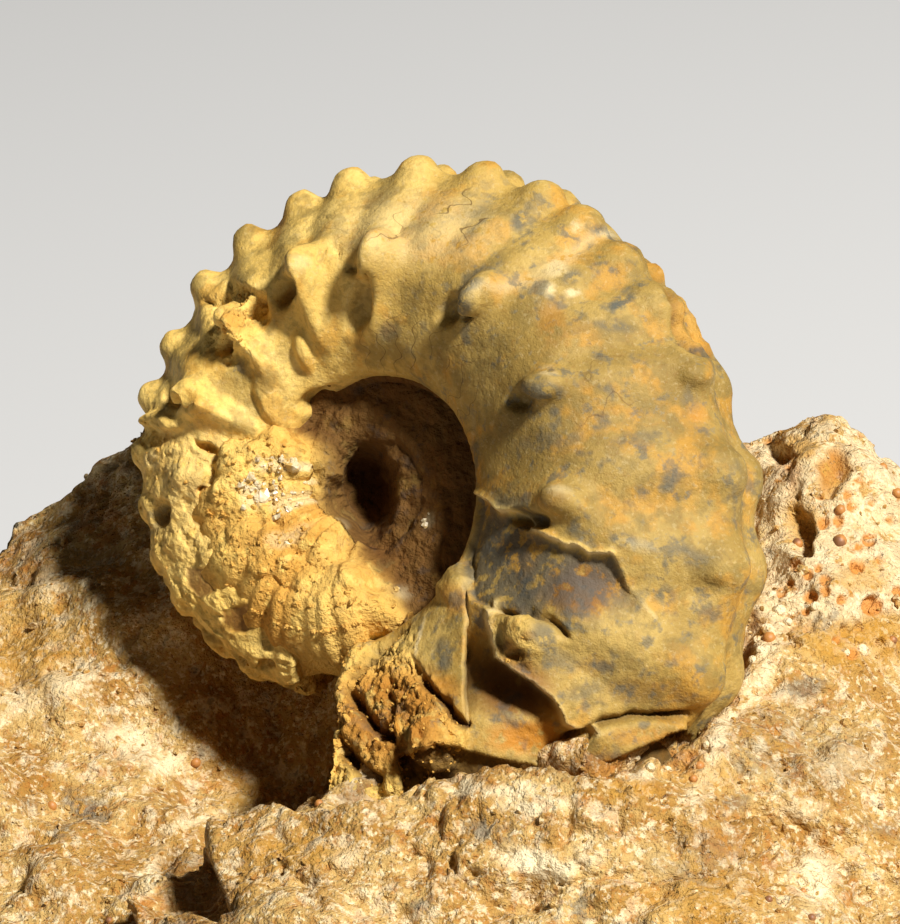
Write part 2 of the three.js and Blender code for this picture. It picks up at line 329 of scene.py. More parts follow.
class Workbench:
    """The few mesh steps that every piece is made with."""

    DOUBLES = 1e-6

    @staticmethod
    def clear() -> None:
        """Deselects everything, so that an operator reaches only what is made next."""
        bpy.ops.object.select_all(action="DESELECT")

    @staticmethod
    def points(piece: bpy.types.Object) -> np.ndarray:
        """The piece's vertices in millimetres."""
        flat = np.empty(3 * len(piece.data.vertices))
        piece.data.vertices.foreach_get("co", flat)
        return flat.reshape(-1, 3) / MM

    @staticmethod
    def normals(piece: bpy.types.Object) -> np.ndarray:
        """The piece's vertex normals."""
        flat = np.empty(3 * len(piece.data.vertices), np.float32)
        piece.data.vertex_normals.foreach_get("vector", flat)
        return flat.reshape(-1, 3).astype(float)

    @staticmethod
    def move(piece: bpy.types.Object, points: np.ndarray) -> None:
        """Moves the piece's vertices to points in millimetres."""
        piece.data.vertices.foreach_set("co", (points * MM).ravel())
        piece.data.update()

    @staticmethod
    def masks(piece: bpy.types.Object, masks: dict[Mask, np.ndarray | float]) -> None:
        """Stores masks on the piece's vertices.

        Args:
            piece: The piece.
            masks: Each mask's values, or the one value that it has all over.
        """
        for mask, values in masks.items():
            everywhere = np.broadcast_to(np.clip(values, 0, 1), len(piece.data.vertices))
            Workbench.keep(piece, mask.value, everywhere)

    @staticmethod
    def values(piece: bpy.types.Object, name: str) -> np.ndarray:
        """The numbers stored on the piece's vertices under a name."""
        flat = np.empty(len(piece.data.vertices), np.float32)
        piece.data.attributes[name].data.foreach_get("value", flat)
        return flat.astype(float)

    @staticmethod
    def keep(piece: bpy.types.Object, name: str, values: np.ndarray) -> None:
        """Stores numbers on the piece's vertices under a name."""
        attribute = piece.data.attributes.new(name, "FLOAT", "POINT")
        attribute.data.foreach_set("value", values.astype(np.float32))

    @staticmethod
    def refine(piece: bpy.types.Object, chosen: np.ndarray, cuts: int) -> None:
        """Subdivides the faces between chosen vertices.

        Args:
            piece: The piece.
            chosen: Whether each vertex is chosen.
            cuts: How many cuts each edge gets.
        """
        bpy.ops.object.mode_set(mode="EDIT")
        bpy.ops.mesh.select_mode(type="VERT")
        bpy.ops.mesh.select_all(action="DESELECT")
        bpy.ops.object.mode_set(mode="OBJECT")
        piece.data.vertices.foreach_set("select", chosen)
        bpy.ops.object.mode_set(mode="EDIT")
        bpy.ops.mesh.subdivide(number_cuts=cuts)
        bpy.ops.object.mode_set(mode="OBJECT")

    @staticmethod
    def close(piece: bpy.types.Object) -> None:
        """Merges the piece's doubles and turns its faces outwards."""
        bpy.ops.object.mode_set(mode="EDIT")
        bpy.ops.mesh.select_all(action="SELECT")
        bpy.ops.mesh.remove_doubles(threshold=Workbench.DOUBLES)
        bpy.ops.mesh.normals_make_consistent(inside=False)
        bpy.ops.object.mode_set(mode="OBJECT")

    @staticmethod
    def settle(piece: bpy.types.Object, name: str, slot: Slot, smooth: bool = True) -> None:
        """Names a finished piece, shades it and fixes it to the specimen.

        Args:
            piece: The finished piece.
            name: Its name.
            slot: Not used.
            smooth: Whether its faces are shaded as one round surface.
        """
        piece.name = name
        piece.data.name = name
        Workbench.clear()
        piece.select_set(True)
        bpy.context.view_layer.objects.active = piece
        if smooth:
            bpy.ops.object.shade_smooth()
        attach(piece, "root")
        LOG.info("%s: %d vertices", name, len(piece.data.vertices))


@dataclass(frozen=True)
class Coil:
    """The flat spiral that the shell follows."""

    expansion: float = 2.3
    rim_radius: float = 19.65
    end_angle: float = -71.0
    span: float = 340.0
    centre: tuple[float, float, float] = (-3.0, 2.6, 22.35)
    axis_rise: float = 30.0
    axis_turn: float = 31.0

    def scale(self, angle: np.ndarray) -> np.ndarray:
        """Rim radius at an angle of the spiral."""
        return self.rim_radius * self.expansion ** ((self.end_angle - angle) / FULL_TURN)

    def axes(self) -> np.ndarray:
        """The coil's level, steep and axial directions, one in each row."""
        rise, turn = math.radians(self.axis_rise), math.radians(self.axis_turn)
        level = np.array([math.cos(turn), -math.sin(turn), 0.0])
        flat = np.array([-math.sin(turn), -math.cos(turn), 0.0])
        axis = math.cos(rise) * flat + math.sin(rise) * np.array([0.0, 0.0, 1.0])
        return np.array([level, np.cross(axis, level), axis])

    def place(self, radius: np.ndarray, axial: np.ndarray, angle: np.ndarray) -> np.ndarray:
        """Points from their distance to the axis, their height along it and their angle.

        Args:
            radius: Distance from the coil axis.
            axial: Height over the coil plane, towards the near flank.
            angle: Angle in the coil plane.

        Returns:
            Points in the specimen's frame.
        """
        turn = np.radians(angle)
        local = np.stack(np.broadcast_arrays(radius * np.cos(turn), radius * np.sin(turn), axial), axis=-1)
        return np.array(self.centre) + local @ self.axes()


@dataclass(frozen=True)
class WhorlSection:
    """The whorl's section, from the inner side to the venter, with the rim radius as 1.

    Each place is radial and axial.
    """

    half: tuple[tuple[float, float], ...] = (
        (0.36, 0.0),
        (0.345, 0.04),
        (0.335, 0.085),
        (0.345, 0.135),
        (0.4, 0.195),
        (0.52, 0.26),
        (0.66, 0.296),
        (0.82, 0.205),
        (0.915, 0.118),
        (0.955, 0.078),
        (0.965, 0.0),
    )
    lateral_point: int = 6
    ventral_point: int = 9
    samples: int = 40
    step: float = 0.004
    middle: tuple[float, float] = (0.62, 0.0)

    def _curve(self) -> tuple[np.ndarray, np.ndarray]:
        """The closed curve through the section's points, and the length along it, from 0 to 1."""
        mirrored = [(radial, -axial) for radial, axial in self.half[-2:0:-1]]
        knots = np.array([*self.half, *mirrored])
        before, start, end, after = (np.roll(knots, shift, axis=0) for shift in (1, 0, -1, -2))
        pairs = ((before, start), (start, end), (end, after))
        first, middle, last = (np.linalg.norm(b - a, axis=1)[:, None] ** 0.5 for a, b in pairs)
        through = (end - start) / middle
        leave = ((start - before) / first - (end - before) / (first + middle) + through) * middle
        arrive = (through - (after - start) / (middle + last) + (after - end) / last) * middle
        share = np.linspace(0, 1, self.samples, endpoint=False)[None, :, None]
        start, end, leave, arrive = (part[:, None, :] for part in (start, end, leave, arrive))
        cubic = start + leave * share
        cubic = cubic + (3 * (end - start) - 2 * leave - arrive) * share**2
        cubic = cubic + (2 * (start - end) + leave + arrive) * share**3
        points = cubic.reshape(-1, 2)
        points = np.vstack([points, points[:1]])
        length = np.concatenate([[0], np.cumsum(np.linalg.norm(np.diff(points, axis=0), axis=1))])
        return points, length / length[-1]

    def sample(self, share: np.ndarray) -> tuple[np.ndarray, np.ndarray]:
        """Places and outward normals on the section.

        Args:
            share: Share of the way round, with a half at the venter.

        Returns:
            The places and the normals, radial and axial.
        """
        points, length = self._curve()

        def at(shift: float) -> np.ndarray:
            """Places a little further round."""
            return np.stack([np.interp((share + shift) % 1, length, column) for column in points.T], axis=-1)

        along = at(self.step) - at(-self.step)
        along /= np.linalg.norm(along, axis=-1, keepdims=True)
        return at(0.0), np.stack([-along[..., 1], along[..., 0]], axis=-1)

    def knob_rows(self) -> tuple[float, float]:
        """How far across a flank the lateral and ventral knobs lie: 0 at the inner side, 1 at the venter."""
        _, length = self._curve()
        return 2 * length[self.lateral_point * self.samples], 2 * length[self.ventral_point * self.samples]


@dataclass
class LastWhorl:
    """The shell's last whorl: a ribbed and knobbed tube, worn, cracked and partly stripped of its shell."""

    coil: Coil
    section: WhorlSection
    view: PhotoView
    rings: int = 410
    near_corners: int = 88
    far_corners: int = 40
    cap_rings: int = 14
    cap_bulge: float = 2.4
    lateral_angles: tuple[float, ...] = (-74, -47, -20, 7, 32, 61, 92, 115, 142, 168, 194, 220, 246)
    lateral_sizes: tuple[float, ...] = (1, 1, 0.5, 0.62, 0.68, 0.85, 1.05, 1.0, 0.9, 1, 1, 1, 1)
    ventral_angles: tuple[float, ...] = (
        -70, -56, -42, -27, -13, 2, 15, 31, 42.5, 52, 62, 71, 83, 96, 110, 121, 134, 147, 161, 173,
        186, 199, 212, 225, 238, 251, 264,
    )  # fmt: skip
    tone_angles: tuple[float, ...] = (-71, -15, 25, 60, 90, 115, 160)
    tones: tuple[float, ...] = (0.45, 0.3, 0.05, 0.3, 0.55, 0.8, 1.0)
    worn_places: tuple[float, ...] = (0.36, 0.5, 0.66, 0.8, 0.9, 0.95, 0.965)
    worn_lifts: tuple[float, ...] = (0.0, -0.045, -0.03, 0.035, 0.08, 0.055, 0.0)
    shell_depth: float = 0.34
    plate_height: float = 0.45
    lip_height: float = 0.17
    lip_width: float = 4.5
    end_height: float = 2.4
    swelling: float = 0.034
    swollen_at: float = -6.0
    swollen_over: float = 26.0
    lateral_height: float = 0.07
    ventral_height: float = 0.045
    primary_height: float = 0.052
    secondary_height: float = 0.027
    noise: Noise = field(default_factory=lambda: Noise(11))
    fine_zone: tuple[Pixel, ...] = (
        (296, 700), (350, 664), (392, 612), (452, 486), (520, 490), (620, 540), (664, 620), (600, 700),
        (690, 705), (690, 745), (560, 790), (330, 810),
    )  # fmt: skip
    rubbly_zone: tuple[Pixel, ...] = (
        (120, 300), (270, 270), (270, 470), (300, 690), (240, 690), (120, 560),
    )  # fmt: skip

    # Edges of the shell layer that is left on the mould, and the places it has come off
    upper_edge: tuple[Pixel, ...] = (
        (449, 494), (466, 494), (477, 493), (487, 499), (497, 509), (510, 510), (519, 518), (525, 528),
        (539, 533), (553, 540), (563, 547), (576, 545), (588, 553), (602, 553), (611, 553),
    )  # fmt: skip
    right_edge: tuple[Pixel, ...] = ((611, 553), (617, 565), (625, 583), (639, 602), (655, 618))
    lower_edge: tuple[Pixel, ...] = ((655, 618), (625, 632), (595, 640), (566, 636))
    lower_crack: tuple[Pixel, ...] = (
        (566, 636), (554, 624), (543, 615), (526, 607), (512, 609), (497, 610),
    )  # fmt: skip
    inner_edge: tuple[Pixel, ...] = ((470, 600), (455, 545))
    hollow_slope: Pixel = (600, 672)
    hollow_edge: tuple[Pixel, ...] = (
        (491, 600), (491, 622), (492, 645), (498, 660), (512, 671), (530, 683), (548, 697), (561, 711),
        (566, 724), (579, 730), (594, 729),
    )  # fmt: skip
    hollow_floor: tuple[Pixel, ...] = (
        (580, 752), (555, 770), (520, 766), (485, 758), (466, 750), (464, 650), (465, 600),
    )  # fmt: skip
    seam_line: tuple[Pixel, ...] = ((473, 410), (470, 460), (467, 504), (465, 583), (464, 650), (466, 718))
    crust_crack: tuple[Pixel, ...] = (
        (625, 236), (643, 249), (657, 275), (674, 295), (677, 324), (682, 341), (699, 352), (715, 356),
    )  # fmt: skip
    crust_rim: tuple[Pixel, ...] = ((745, 372), (735, 340), (715, 290), (690, 255), (655, 225))
    plate: tuple[Pixel, ...] = (
        (563, 742), (604, 724), (635, 717), (684, 717), (686, 726), (655, 742), (630, 752), (590, 764),
        (565, 760),
    )  # fmt: skip
    # The strip along the foot, where the whorl meets the block: pushed back and darkened as painted shade.
    sunk: tuple[Pixel, ...] = (
        (400, 758), (430, 746), (460, 748), (500, 759), (545, 769), (568, 784), (600, 774), (640, 751),
        (686, 722), (690, 760), (600, 830), (400, 830),
    )  # fmt: skip
    cracks: tuple[tuple[tuple[Pixel, ...], float, float], ...] = (
        (lower_crack, 2.6, 0.4),
        (crust_crack, 2.4, 0.3),
        (((566, 740), (604, 721), (635, 714), (690, 715)), 3.0, 0.5),
        (((419, 677), (432, 690), (446, 702), (452, 712), (464, 724)), 3.4, 0.7),
        (((313, 716), (330, 736), (345, 752), (360, 768), (374, 778)), 5.5, 0.9),
        (((350, 690), (360, 706), (373, 727), (393, 738)), 4.0, 0.6),
        (((388, 690), (394, 706), (392, 724)), 3.0, 0.3),
        (((352, 672), (366, 660), (381, 645), (390, 634), (414, 606)), 4.0, 0.5),
        (((191, 622), (204, 640), (226, 652), (243, 664)), 3.0, 0.3),
        (seam_line, 1.4, 0.12),
    )
    suture_spots: tuple[Spot, ...] = (
        Spot(465, 215, 34, 34, 0.9), Spot(400, 345, 48, 36, 0.9), Spot(460, 390, 22, 60, 0.8),
        Spot(386, 228, 22, 30, 0.8), Spot(605, 400, 40, 60, 0.5), Spot(330, 225, 20, 20, 0.5),
    )  # fmt: skip
    crumbled: tuple[Pixel, ...] = (
        (120, 420), (150, 405), (180, 430), (215, 438), (262, 440), (262, 500), (262, 560), (300, 610),
        (400, 600), (420, 640), (400, 720), (250, 720), (120, 640),
    )  # fmt: skip
    crusted: tuple[Pixel, ...] = (
        (290, 690), (350, 672), (385, 640), (415, 664), (440, 690), (466, 724), (470, 760), (420, 790),
        (280, 830),
    )  # fmt: skip
    eroded: tuple[Pixel, ...] = (
        (205, 300), (232, 282), (262, 292), (268, 318), (252, 340), (246, 362), (224, 366), (204, 340),
    )  # fmt: skip
    smooth_patches: tuple[tuple[Pixel, ...], ...] = (
        ((187, 567), (200, 566), (216, 572), (215, 590), (200, 598), (188, 585)),
        ((222, 610), (245, 604), (262, 600), (280, 602), (282, 616), (262, 622), (246, 632), (224, 628)),
    )
    rough_spots: tuple[Spot, ...] = (Spot(520, 640, 30, 32, 0.6), Spot(690, 325, 16, 30, 0.5))
    pits: tuple[Spot, ...] = (
        Spot(222, 347, 8, 8, 1.3), Spot(180, 397, 15, 12, 0.8), Spot(206, 447, 15, 5, 0.6, 25),
        Spot(202, 491, 6, 5, 0.5), Spot(219, 489, 6, 5, 0.5), Spot(159, 513, 9, 14, 0.8),
        Spot(255, 305, 9, 12, 0.6), Spot(466, 317, 6, 4, 0.7), Spot(322, 258, 3, 14, 0.3, -10),
        Spot(337, 250, 3, 8, 0.25, -30), Spot(352, 268, 6, 4, 0.3, 30), Spot(398, 231, 5, 4, 0.2),
        Spot(265, 666, 7, 6, 0.6), Spot(516, 655, 8, 6, 0.4),
    )  # fmt: skip
    # Dents beside the knobs and at the umbilical edge, each also half darkened as painted shade.
    dents: tuple[Spot, ...] = (
        Spot(359, 304, 12, 28, 0.65, 12), Spot(284, 292, 11, 16, 0.8, 10),
        Spot(448, 310, 11, 18, 0.6, 12), Spot(520, 402, 14, 11, 0.4, 10),
        Spot(320, 400, 24, 11, 0.5, -25), Spot(527, 519, 22, 10, 0.75, 12),
        Spot(703, 590, 24, 12, 0.25, -8),
    )  # fmt: skip
    lumps: tuple[Spot, ...] = (
        Spot(165, 422, 20, 11, 0.5, 10), Spot(305, 352, 9, 22, 0.35, -15),
        Spot(268, 398, 12, 30, 0.35, -20), Spot(448, 580, 17, 22, 0.35), Spot(695, 375, 16, 13, 0.3),
        Spot(556, 499, 18, 11, 0.25), Spot(541, 386, 20, 12, 0.3), Spot(469, 303, 12, 14, 0.3),
    )  # fmt: skip
    stains: tuple[Spot, ...] = (
        Spot(519, 221, 9, 12, 0.9, 20), Spot(470, 285, 16, 8, 1.0, -25),
        Spot(570, 275, 12, 8, 0.8, -20), Spot(602, 233, 18, 7, 0.9, 15),
        Spot(622, 301, 19, 7, 1.0, -25), Spot(614, 326, 24, 6, 0.6, 10), Spot(599, 357, 8, 4, 0.7),
        Spot(455, 434, 9, 7, 1.0), Spot(388, 332, 14, 12, 0.5), Spot(237, 372, 8, 12, 0.7, -20),
        Spot(550, 440, 40, 9, 0.45, -8), Spot(640, 440, 34, 10, 0.5, -12),
        Spot(672, 470, 10, 22, 0.6, 20), Spot(626, 540, 18, 7, 0.9, 15), Spot(670, 548, 34, 7, 0.7, 8),
        Spot(697, 560, 16, 9, 0.6), Spot(665, 594, 14, 11, 0.7), Spot(604, 588, 8, 20, 0.8),
        Spot(568, 626, 14, 6, 0.9), Spot(497, 540, 38, 52, 1.0, 20), Spot(522, 586, 18, 16, 1.0),
        Spot(630, 693, 7, 7, 0.8), Spot(652, 672, 6, 8, 0.7, 25), Spot(560, 662, 22, 14, 0.5),
        Spot(443, 655, 9, 20, 0.7), Spot(152, 518, 9, 18, 0.6), Spot(296, 604, 22, 10, 0.5),
        Spot(330, 640, 26, 16, 0.4), Spot(690, 398, 8, 12, 0.5), Spot(735, 480, 6, 24, 0.5),
        Spot(543, 392, 24, 10, 0.8), Spot(461, 302, 12, 14, 0.9), Spot(545, 640, 12, 26, 0.8, -30),
        Spot(585, 690, 26, 8, 0.4, -20), Spot(480, 622, 11, 16, 0.9),
    )  # fmt: skip
    pale_streak: tuple[Pixel, ...] = (
        (474, 286), (500, 286), (527, 282), (546, 273), (556, 266), (575, 251), (590, 239),
    )  # fmt: skip
    # Pale bits of shell, with painted light: the spots on the knob tops at (548, 372) and (560, 490) are
    # painted highlights, and the two broad faint ones lighten the left and upper flanks.
    pale_and_highlight_spots: tuple[Spot, ...] = (
        Spot(548, 288, 6, 8, 0.9), Spot(572, 293, 8, 5, 0.9), Spot(556, 268, 14, 8, 0.7, -30),
        Spot(606, 234, 10, 5, 0.6), Spot(576, 226, 5, 5, 0.8), Spot(548, 372, 10, 6, 0.5),
        Spot(560, 490, 14, 7, 0.45), Spot(420, 636, 3, 22, 0.8, 15), Spot(300, 262, 14, 8, 0.35),
        Spot(640, 545, 22, 6, 0.35, 10), Spot(150, 460, 8, 14, 0.4), Spot(195, 490, 55, 80, 0.18),
        Spot(420, 230, 90, 40, 0.3),
    )  # fmt: skip
    rust_spots: tuple[Spot, ...] = (
        Spot(697, 412, 11, 12, 0.5), Spot(552, 320, 18, 26, 0.4), Spot(440, 690, 24, 18, 0.7),
        Spot(530, 738, 50, 18, 1.0), Spot(390, 715, 70, 60, 0.95), Spot(455, 600, 12, 16, 0.5),
        Spot(228, 318, 20, 14, 0.6), Spot(640, 735, 40, 10, 0.5), Spot(600, 760, 40, 12, 0.6),
    )  # fmt: skip
    umber_spots: tuple[Spot, ...] = (
        Spot(577, 590, 44, 32, 0.9), Spot(512, 690, 44, 40, 0.9, 35), Spot(556, 500, 16, 8, 0.3),
        Spot(640, 690, 40, 14, 0.3), Spot(595, 665, 20, 10, 0.35), Spot(507, 648, 14, 10, 0.7),
        Spot(528, 636, 9, 7, 0.5), Spot(390, 720, 66, 50, 0.4),
    )  # fmt: skip

    def _sheet(self) -> bpy.types.Object:
        """Makes the flat sheet that is rolled into the tube, finer where the broken edges are.

        Returns:
            The sheet, with each vertex's angle, way round and share of the section stored on it.
        """
        corners = self.near_corners + self.far_corners
        Workbench.clear()
        bpy.ops.mesh.primitive_grid_add(
            x_subdivisions=self.rings - 1, y_subdivisions=corners, size=2, calc_uvs=False
        )
        sheet = bpy.context.object
        angle, share, kept = self._coordinates(sheet)
        points = self._surface(angle, share, kept)
        towards = np.broadcast_to(self.coil.axes()[2], points.shape)
        traced = Tracing(points, towards, self.view, 0.0)
        near = (share > 0.08) & (share < 0.5)
        chosen = np.maximum(traced.area(self.fine_zone), traced.area(self.rubbly_zone)) > 0.5
        Workbench.refine(sheet, near & chosen, 1)
        for name, values in zip(("angle", "share", "kept"), self._coordinates(sheet)):
            Workbench.keep(sheet, name, values)
        return sheet

    def _coordinates(self, sheet: bpy.types.Object) -> tuple[np.ndarray, np.ndarray, np.ndarray]:
        """Each vertex's angle, share of the way round and share of the section on the flat sheet."""
        x, y, _ = (Workbench.points(sheet) * MM).T
        angles, kept = self._angles()
        shares = np.append(self._shares(), 1.0)
        ring = (1 + x) / 2 * (self.rings - 1)
        corner = (1 + y) / 2 * (len(shares) - 1)
        along = np.arange(self.rings)
        around = np.interp(corner, np.arange(len(shares)), shares)
        return np.interp(ring, along, angles), around, np.interp(ring, along, kept)

    def _angles(self) -> tuple[np.ndarray, np.ndarray]:
        """The rings' angles, from the oldest to the broken end, and how much of its section each ring has.

        Returns:
            The angles, and shares that fall to nothing at both ends, so that the tube is closed.
        """
        oldest = self.coil.end_angle + self.coil.span
        cap = np.linspace(0, math.pi / 2, self.cap_rings, endpoint=False)
        body = self.rings - 2 * self.cap_rings
        growth = math.log(self.coil.expansion) / FULL_TURN
        first, last = oldest - self.cap_bulge, self.coil.end_angle + self.cap_bulge
        lengths = np.linspace(math.exp(-growth * first), math.exp(-growth * last), body)
        middle = -np.log(lengths) / growth
        old_cap = first + self.cap_bulge * np.cos(cap)
        young_cap = last - self.cap_bulge * np.cos(cap[::-1])
        angles = np.concatenate([old_cap, middle, young_cap])
        shares = np.concatenate([np.sin(cap), np.ones(body), np.sin(cap[::-1])])
        return angles, shares

    def _shares(self) -> np.ndarray:
        """The corners' shares of the way round the section, closer together on the near flank."""
        near = np.linspace(0, 0.5, self.near_corners, endpoint=False)
        far = np.linspace(0.5, 1, self.far_corners, endpoint=False)
        return np.concatenate([near, far])

    def _relief(self, angle: np.ndarray, share: np.ndarray) -> tuple[np.ndarray, np.ndarray]:
        """Heights of the ribs with their lateral knobs and of the ventral knobs, in rim radii.

        Args:
            angle: Each point's angle.
            share: Its share of the way round.

        Returns:
            The ribs' heights and the ventral knobs' heights.
        """
        across = 1 - np.abs(1 - 2 * share)
        lateral, ventral = self.section.knob_rows()
        ventral_sizes = np.random.default_rng(4).uniform(0.8, 1.15, len(self.ventral_angles))
        to_lateral, lateral_size = self._nearest(angle, self.lateral_angles, self.lateral_sizes)
        to_ventral, ventral_size = self._nearest(angle, self.ventral_angles, ventral_sizes)
        older = fade(angle, 66, 104)
        on_wall = fade(across, 0.2, 0.4) * (1 - fade(across, lateral, lateral + 0.1))
        on_flank = fade(across, lateral - 0.02, lateral + 0.12) * (1 - fade(across, 0.95, 1))
        along, beside = to_lateral / (3.3 + 1.2 * older), (across - lateral) / (0.052 + 0.012 * older)
        knob = self._dome(along, beside, 1.5 - 0.4 * older)
        ribs = self.lateral_height * lateral_size * knob
        ribs = ribs + self.primary_height * (0.12 + 0.88 * older) * bell(to_lateral, 3.8) * on_wall
        ribs = ribs + self.secondary_height * bell(to_ventral, 4.2) * on_flank
        crusted = fade(angle, 18, 34) * (1 - fade(angle, 62, 76))
        far = share > 0.5
        lower = 0.6 + 0.2 * fade(angle, 20, 80) + 0.25 * fade(angle, 100, 130)
        lower = lower - crusted * np.where(far, 0.75, 0.3)
        lower = lower - np.where(far, 0.45, 0.2) * (1 - fade(angle, 10, 24))
        blunt = self._dome(to_ventral / 3.1, (across - ventral) / 0.068, 2.1)
        return ribs, self.ventral_height * ventral_size * lower * blunt

    @staticmethod
    def _dome(along: np.ndarray, beside: np.ndarray, bluntness: float) -> np.ndarray:
        """A round-topped knob that is 1 in the middle and a half at a distance of 1."""
        return np.exp(-math.log(2) * (along**2 + beside**2) ** bluntness)

    @staticmethod
    def _nearest(
        angle: np.ndarray, angles: Sequence[float], sizes: Sequence[float]
    ) -> tuple[np.ndarray, np.ndarray]:
        """How far the nearest of a row of knobs is, and that knob's size.

        Args:
            angle: Each point's angle.
            angles: The knobs' angles.
            sizes: The knobs' sizes, about 1.

        Returns:
            The distances in degrees, and the sizes.
        """
        away = np.abs(angle[:, None] - np.array(angles))
        which = away.argmin(axis=1)
        return away[np.arange(len(angle)), which], np.array(sizes)[which]

    def _surface(self, angle: np.ndarray, share: np.ndarray, kept: np.ndarray) -> np.ndarray:
        """The ribbed tube before it is worn.

        Args:
            angle: Each point's angle.
            share: Its share of the way round.
            kept: How much of its section is there, to close the ends.

        Returns:
            The points.
        """
        place, normal = self.section.sample(share)
        scale = self.coil.scale(angle)
        ribs, spikes = self._relief(angle, share)
        worn = 1 - 0.62 * fade(angle, 178, 196) - 0.6 * (1 - fade(angle, -62, -50))
        near = share < 0.5
        side = np.where(near, 1, -1)
        dished = fade(angle, 160, 195) * near * np.interp(place[:, 0], self.worn_places, self.worn_lifts)
        swollen = self.swelling * np.exp(-(((angle - self.swollen_at) / self.swollen_over) ** 2))
        swollen = swollen * fade(place[:, 0], 0.6, 0.95)
        radial = place[:, 0] + swollen + worn * (ribs * normal[:, 0] + 0.95 * spikes)
        axial = place[:, 1] + dished + worn * (ribs * normal[:, 1] + 0.3 * side * spikes)
        middle_radial, middle_axial = self.section.middle
        radial = middle_radial + (radial - middle_radial) * kept
        axial = middle_axial + (axial - middle_axial) * kept
        return self.coil.place(radial * scale, axial * scale, angle)

    def _wear(
        self, points: np.ndarray, traced: Tracing, angle: np.ndarray
    ) -> tuple[np.ndarray, np.ndarray, dict[Mask, np.ndarray]]:
        """Everything that time did to the surface, and the shade painted into its cracks, hollows and dents.

        Args:
            points: The ribbed surface's points.
            traced: The same points in the reference frame.
            angle: Their angles round the coil.

        Returns:
            How far each point is raised, how far it has sunk away from the camera, and the finish's masks.
        """
        smooth = np.max([traced.area(patch, 2) for patch in self.smooth_patches], axis=0)
        crumbled = np.maximum(traced.area(self.crumbled, 10), fade(angle, 196, 215))
        crusted = np.maximum(traced.area(self.crusted, 7), 1 - fade(angle, -70, -62))
        eroded = traced.area(self.eroded, 4)
        rough = 0.6 * crumbled + crusted + eroded + traced.spots(self.rough_spots)
        rough = np.clip(rough, 0, 1) * (1 - smooth)
        around = (*self.upper_edge, *self.right_edge, *self.lower_edge, *self.lower_crack, *self.inner_edge)
        stripped = traced.area(around, 1.5) * fade(traced.reach(self.lower_edge), 0, 60)
        down = traced.places[:, 1]
        hollow = traced.area((*self.hollow_edge, *self.hollow_floor), 1.5) * fade(down, *self.hollow_slope)
        crust = traced.area((*self.crust_crack, *self.crust_rim), 2)
        sunk = traced.area(self.sunk, 1.5)
        edges = [traced.line(self.upper_edge, self.lip_width), 0.4 * traced.line(self.right_edge, 3.5)]
        lips = np.max([*edges, 0.9 * traced.line(self.hollow_edge, self.lip_width)], axis=0)
        cracks = [depth * traced.line(path, half) for path, half, depth in self.cracks]
        broken_end = 1 - fade(angle, self.coil.end_angle, self.coil.end_angle + 0.9 * self.cap_bulge)
        height = self._crumbs(points, rough, crusted)
        height += self.end_height * broken_end * self.noise.fractal(points, 1.9, 5)
        height -= self.shell_depth * stripped + 0.4 * eroded
        roofed = 1 - fade(down, 680, 725)
        hollowed = 0.35 + 0.9 * roofed + 0.5 * bell(traced.reach(self.hollow_edge), 30)
        depth = np.maximum(0.9 * sunk, hollow * hollowed)
        height += crust * (0.16 + 0.1 * self.noise.fractal(points, 1.6, 3))
        height += self.plate_height * traced.area(self.plate, 2)
        height += self.lip_height * lips
        dented = traced.spots(self.dents)
        height -= np.max(cracks, axis=0) + traced.spots(self.pits) + dented
        height += traced.spots(self.lumps)
        uneven = 0.06 * self.noise.fractal(points, 2.6, 5) + 0.015 * self.noise.smooth(points, 0.18)
        height += uneven * (1 - smooth)
        # Pale edges, streaks and spots, some of the spots being painted highlights and painted light.
        pale = [0.8 * traced.line(self.upper_edge, 1.7), 0.35 * traced.line(self.right_edge, 1.3)]
        pale += [0.7 * traced.line(self.hollow_edge, 2.4), 0.4 * traced.line(self.pale_streak, 6)]
        pale += [traced.spots(self.pale_and_highlight_spots), 0.25 * traced.line(self.seam_line, 1.5), 0.5 * broken_end]
        # Painted shade in the cracks, in the hollow under the overhanging edge, along the foot and in the
        # dents; the stripped mould is also made a little darker.
        dark = np.clip(1.6 * np.max(cracks, axis=0), 0, 1) * (1 - lips)
        shaded = [dark, 0.85 * hollow * roofed, 0.9 * sunk, 0.5 * dented, 0.25 * stripped]
        masks = {
            Mask.ROUGH: rough,
            Mask.STAIN: np.maximum(traced.spots(self.stains), 0.85 * stripped) * (1 - lips),
            Mask.PALE_AND_HIGHLIGHT: np.max(pale, axis=0),
            Mask.RUST: np.maximum(0.45 * crust, traced.spots(self.rust_spots)),
            Mask.UMBER_AND_SHADE: np.max([0.85 * smooth, traced.spots(self.umber_spots), 0.5 * broken_end], axis=0),
            Mask.SHADE: np.max(shaded, axis=0),
            Mask.SUTURE: traced.spots(self.suture_spots),
            Mask.TONE: np.maximum(np.interp(angle, self.tone_angles, self.tones), lips),
        }
        return height, depth, masks

    def _crumbs(self, points: np.ndarray, rough: np.ndarray, crusted: np.ndarray) -> np.ndarray:
        """Height of the broken, crumbly surface where it is rough.

        Args:
            points: The surface's points.
            rough: How rough each point is.
            crusted: How much of a crust each point has.

        Returns:
            The height at each point.
        """
        nearest, second = self.noise.cells(points + 0.3 * self.noise.smooth(points, 0.5)[:, None], 0.45)
        pitted = fade(self.noise.fractal(points + 31, 0.45, 3), 0.15, 0.55)
        broken = 0.3 * self.noise.fractal(points, 1.7, 5) - 0.14 * pitted
        broken = broken + 0.05 * self.noise.fractal(points, 0.3, 2)
        spongy = 0.1 * fade(second - nearest, 0.02, 0.3)
        spongy = spongy - 0.34 * fade(self.noise.fractal(points, 1.3, 4), 0.05, 0.6)
        return rough * broken + crusted * spongy

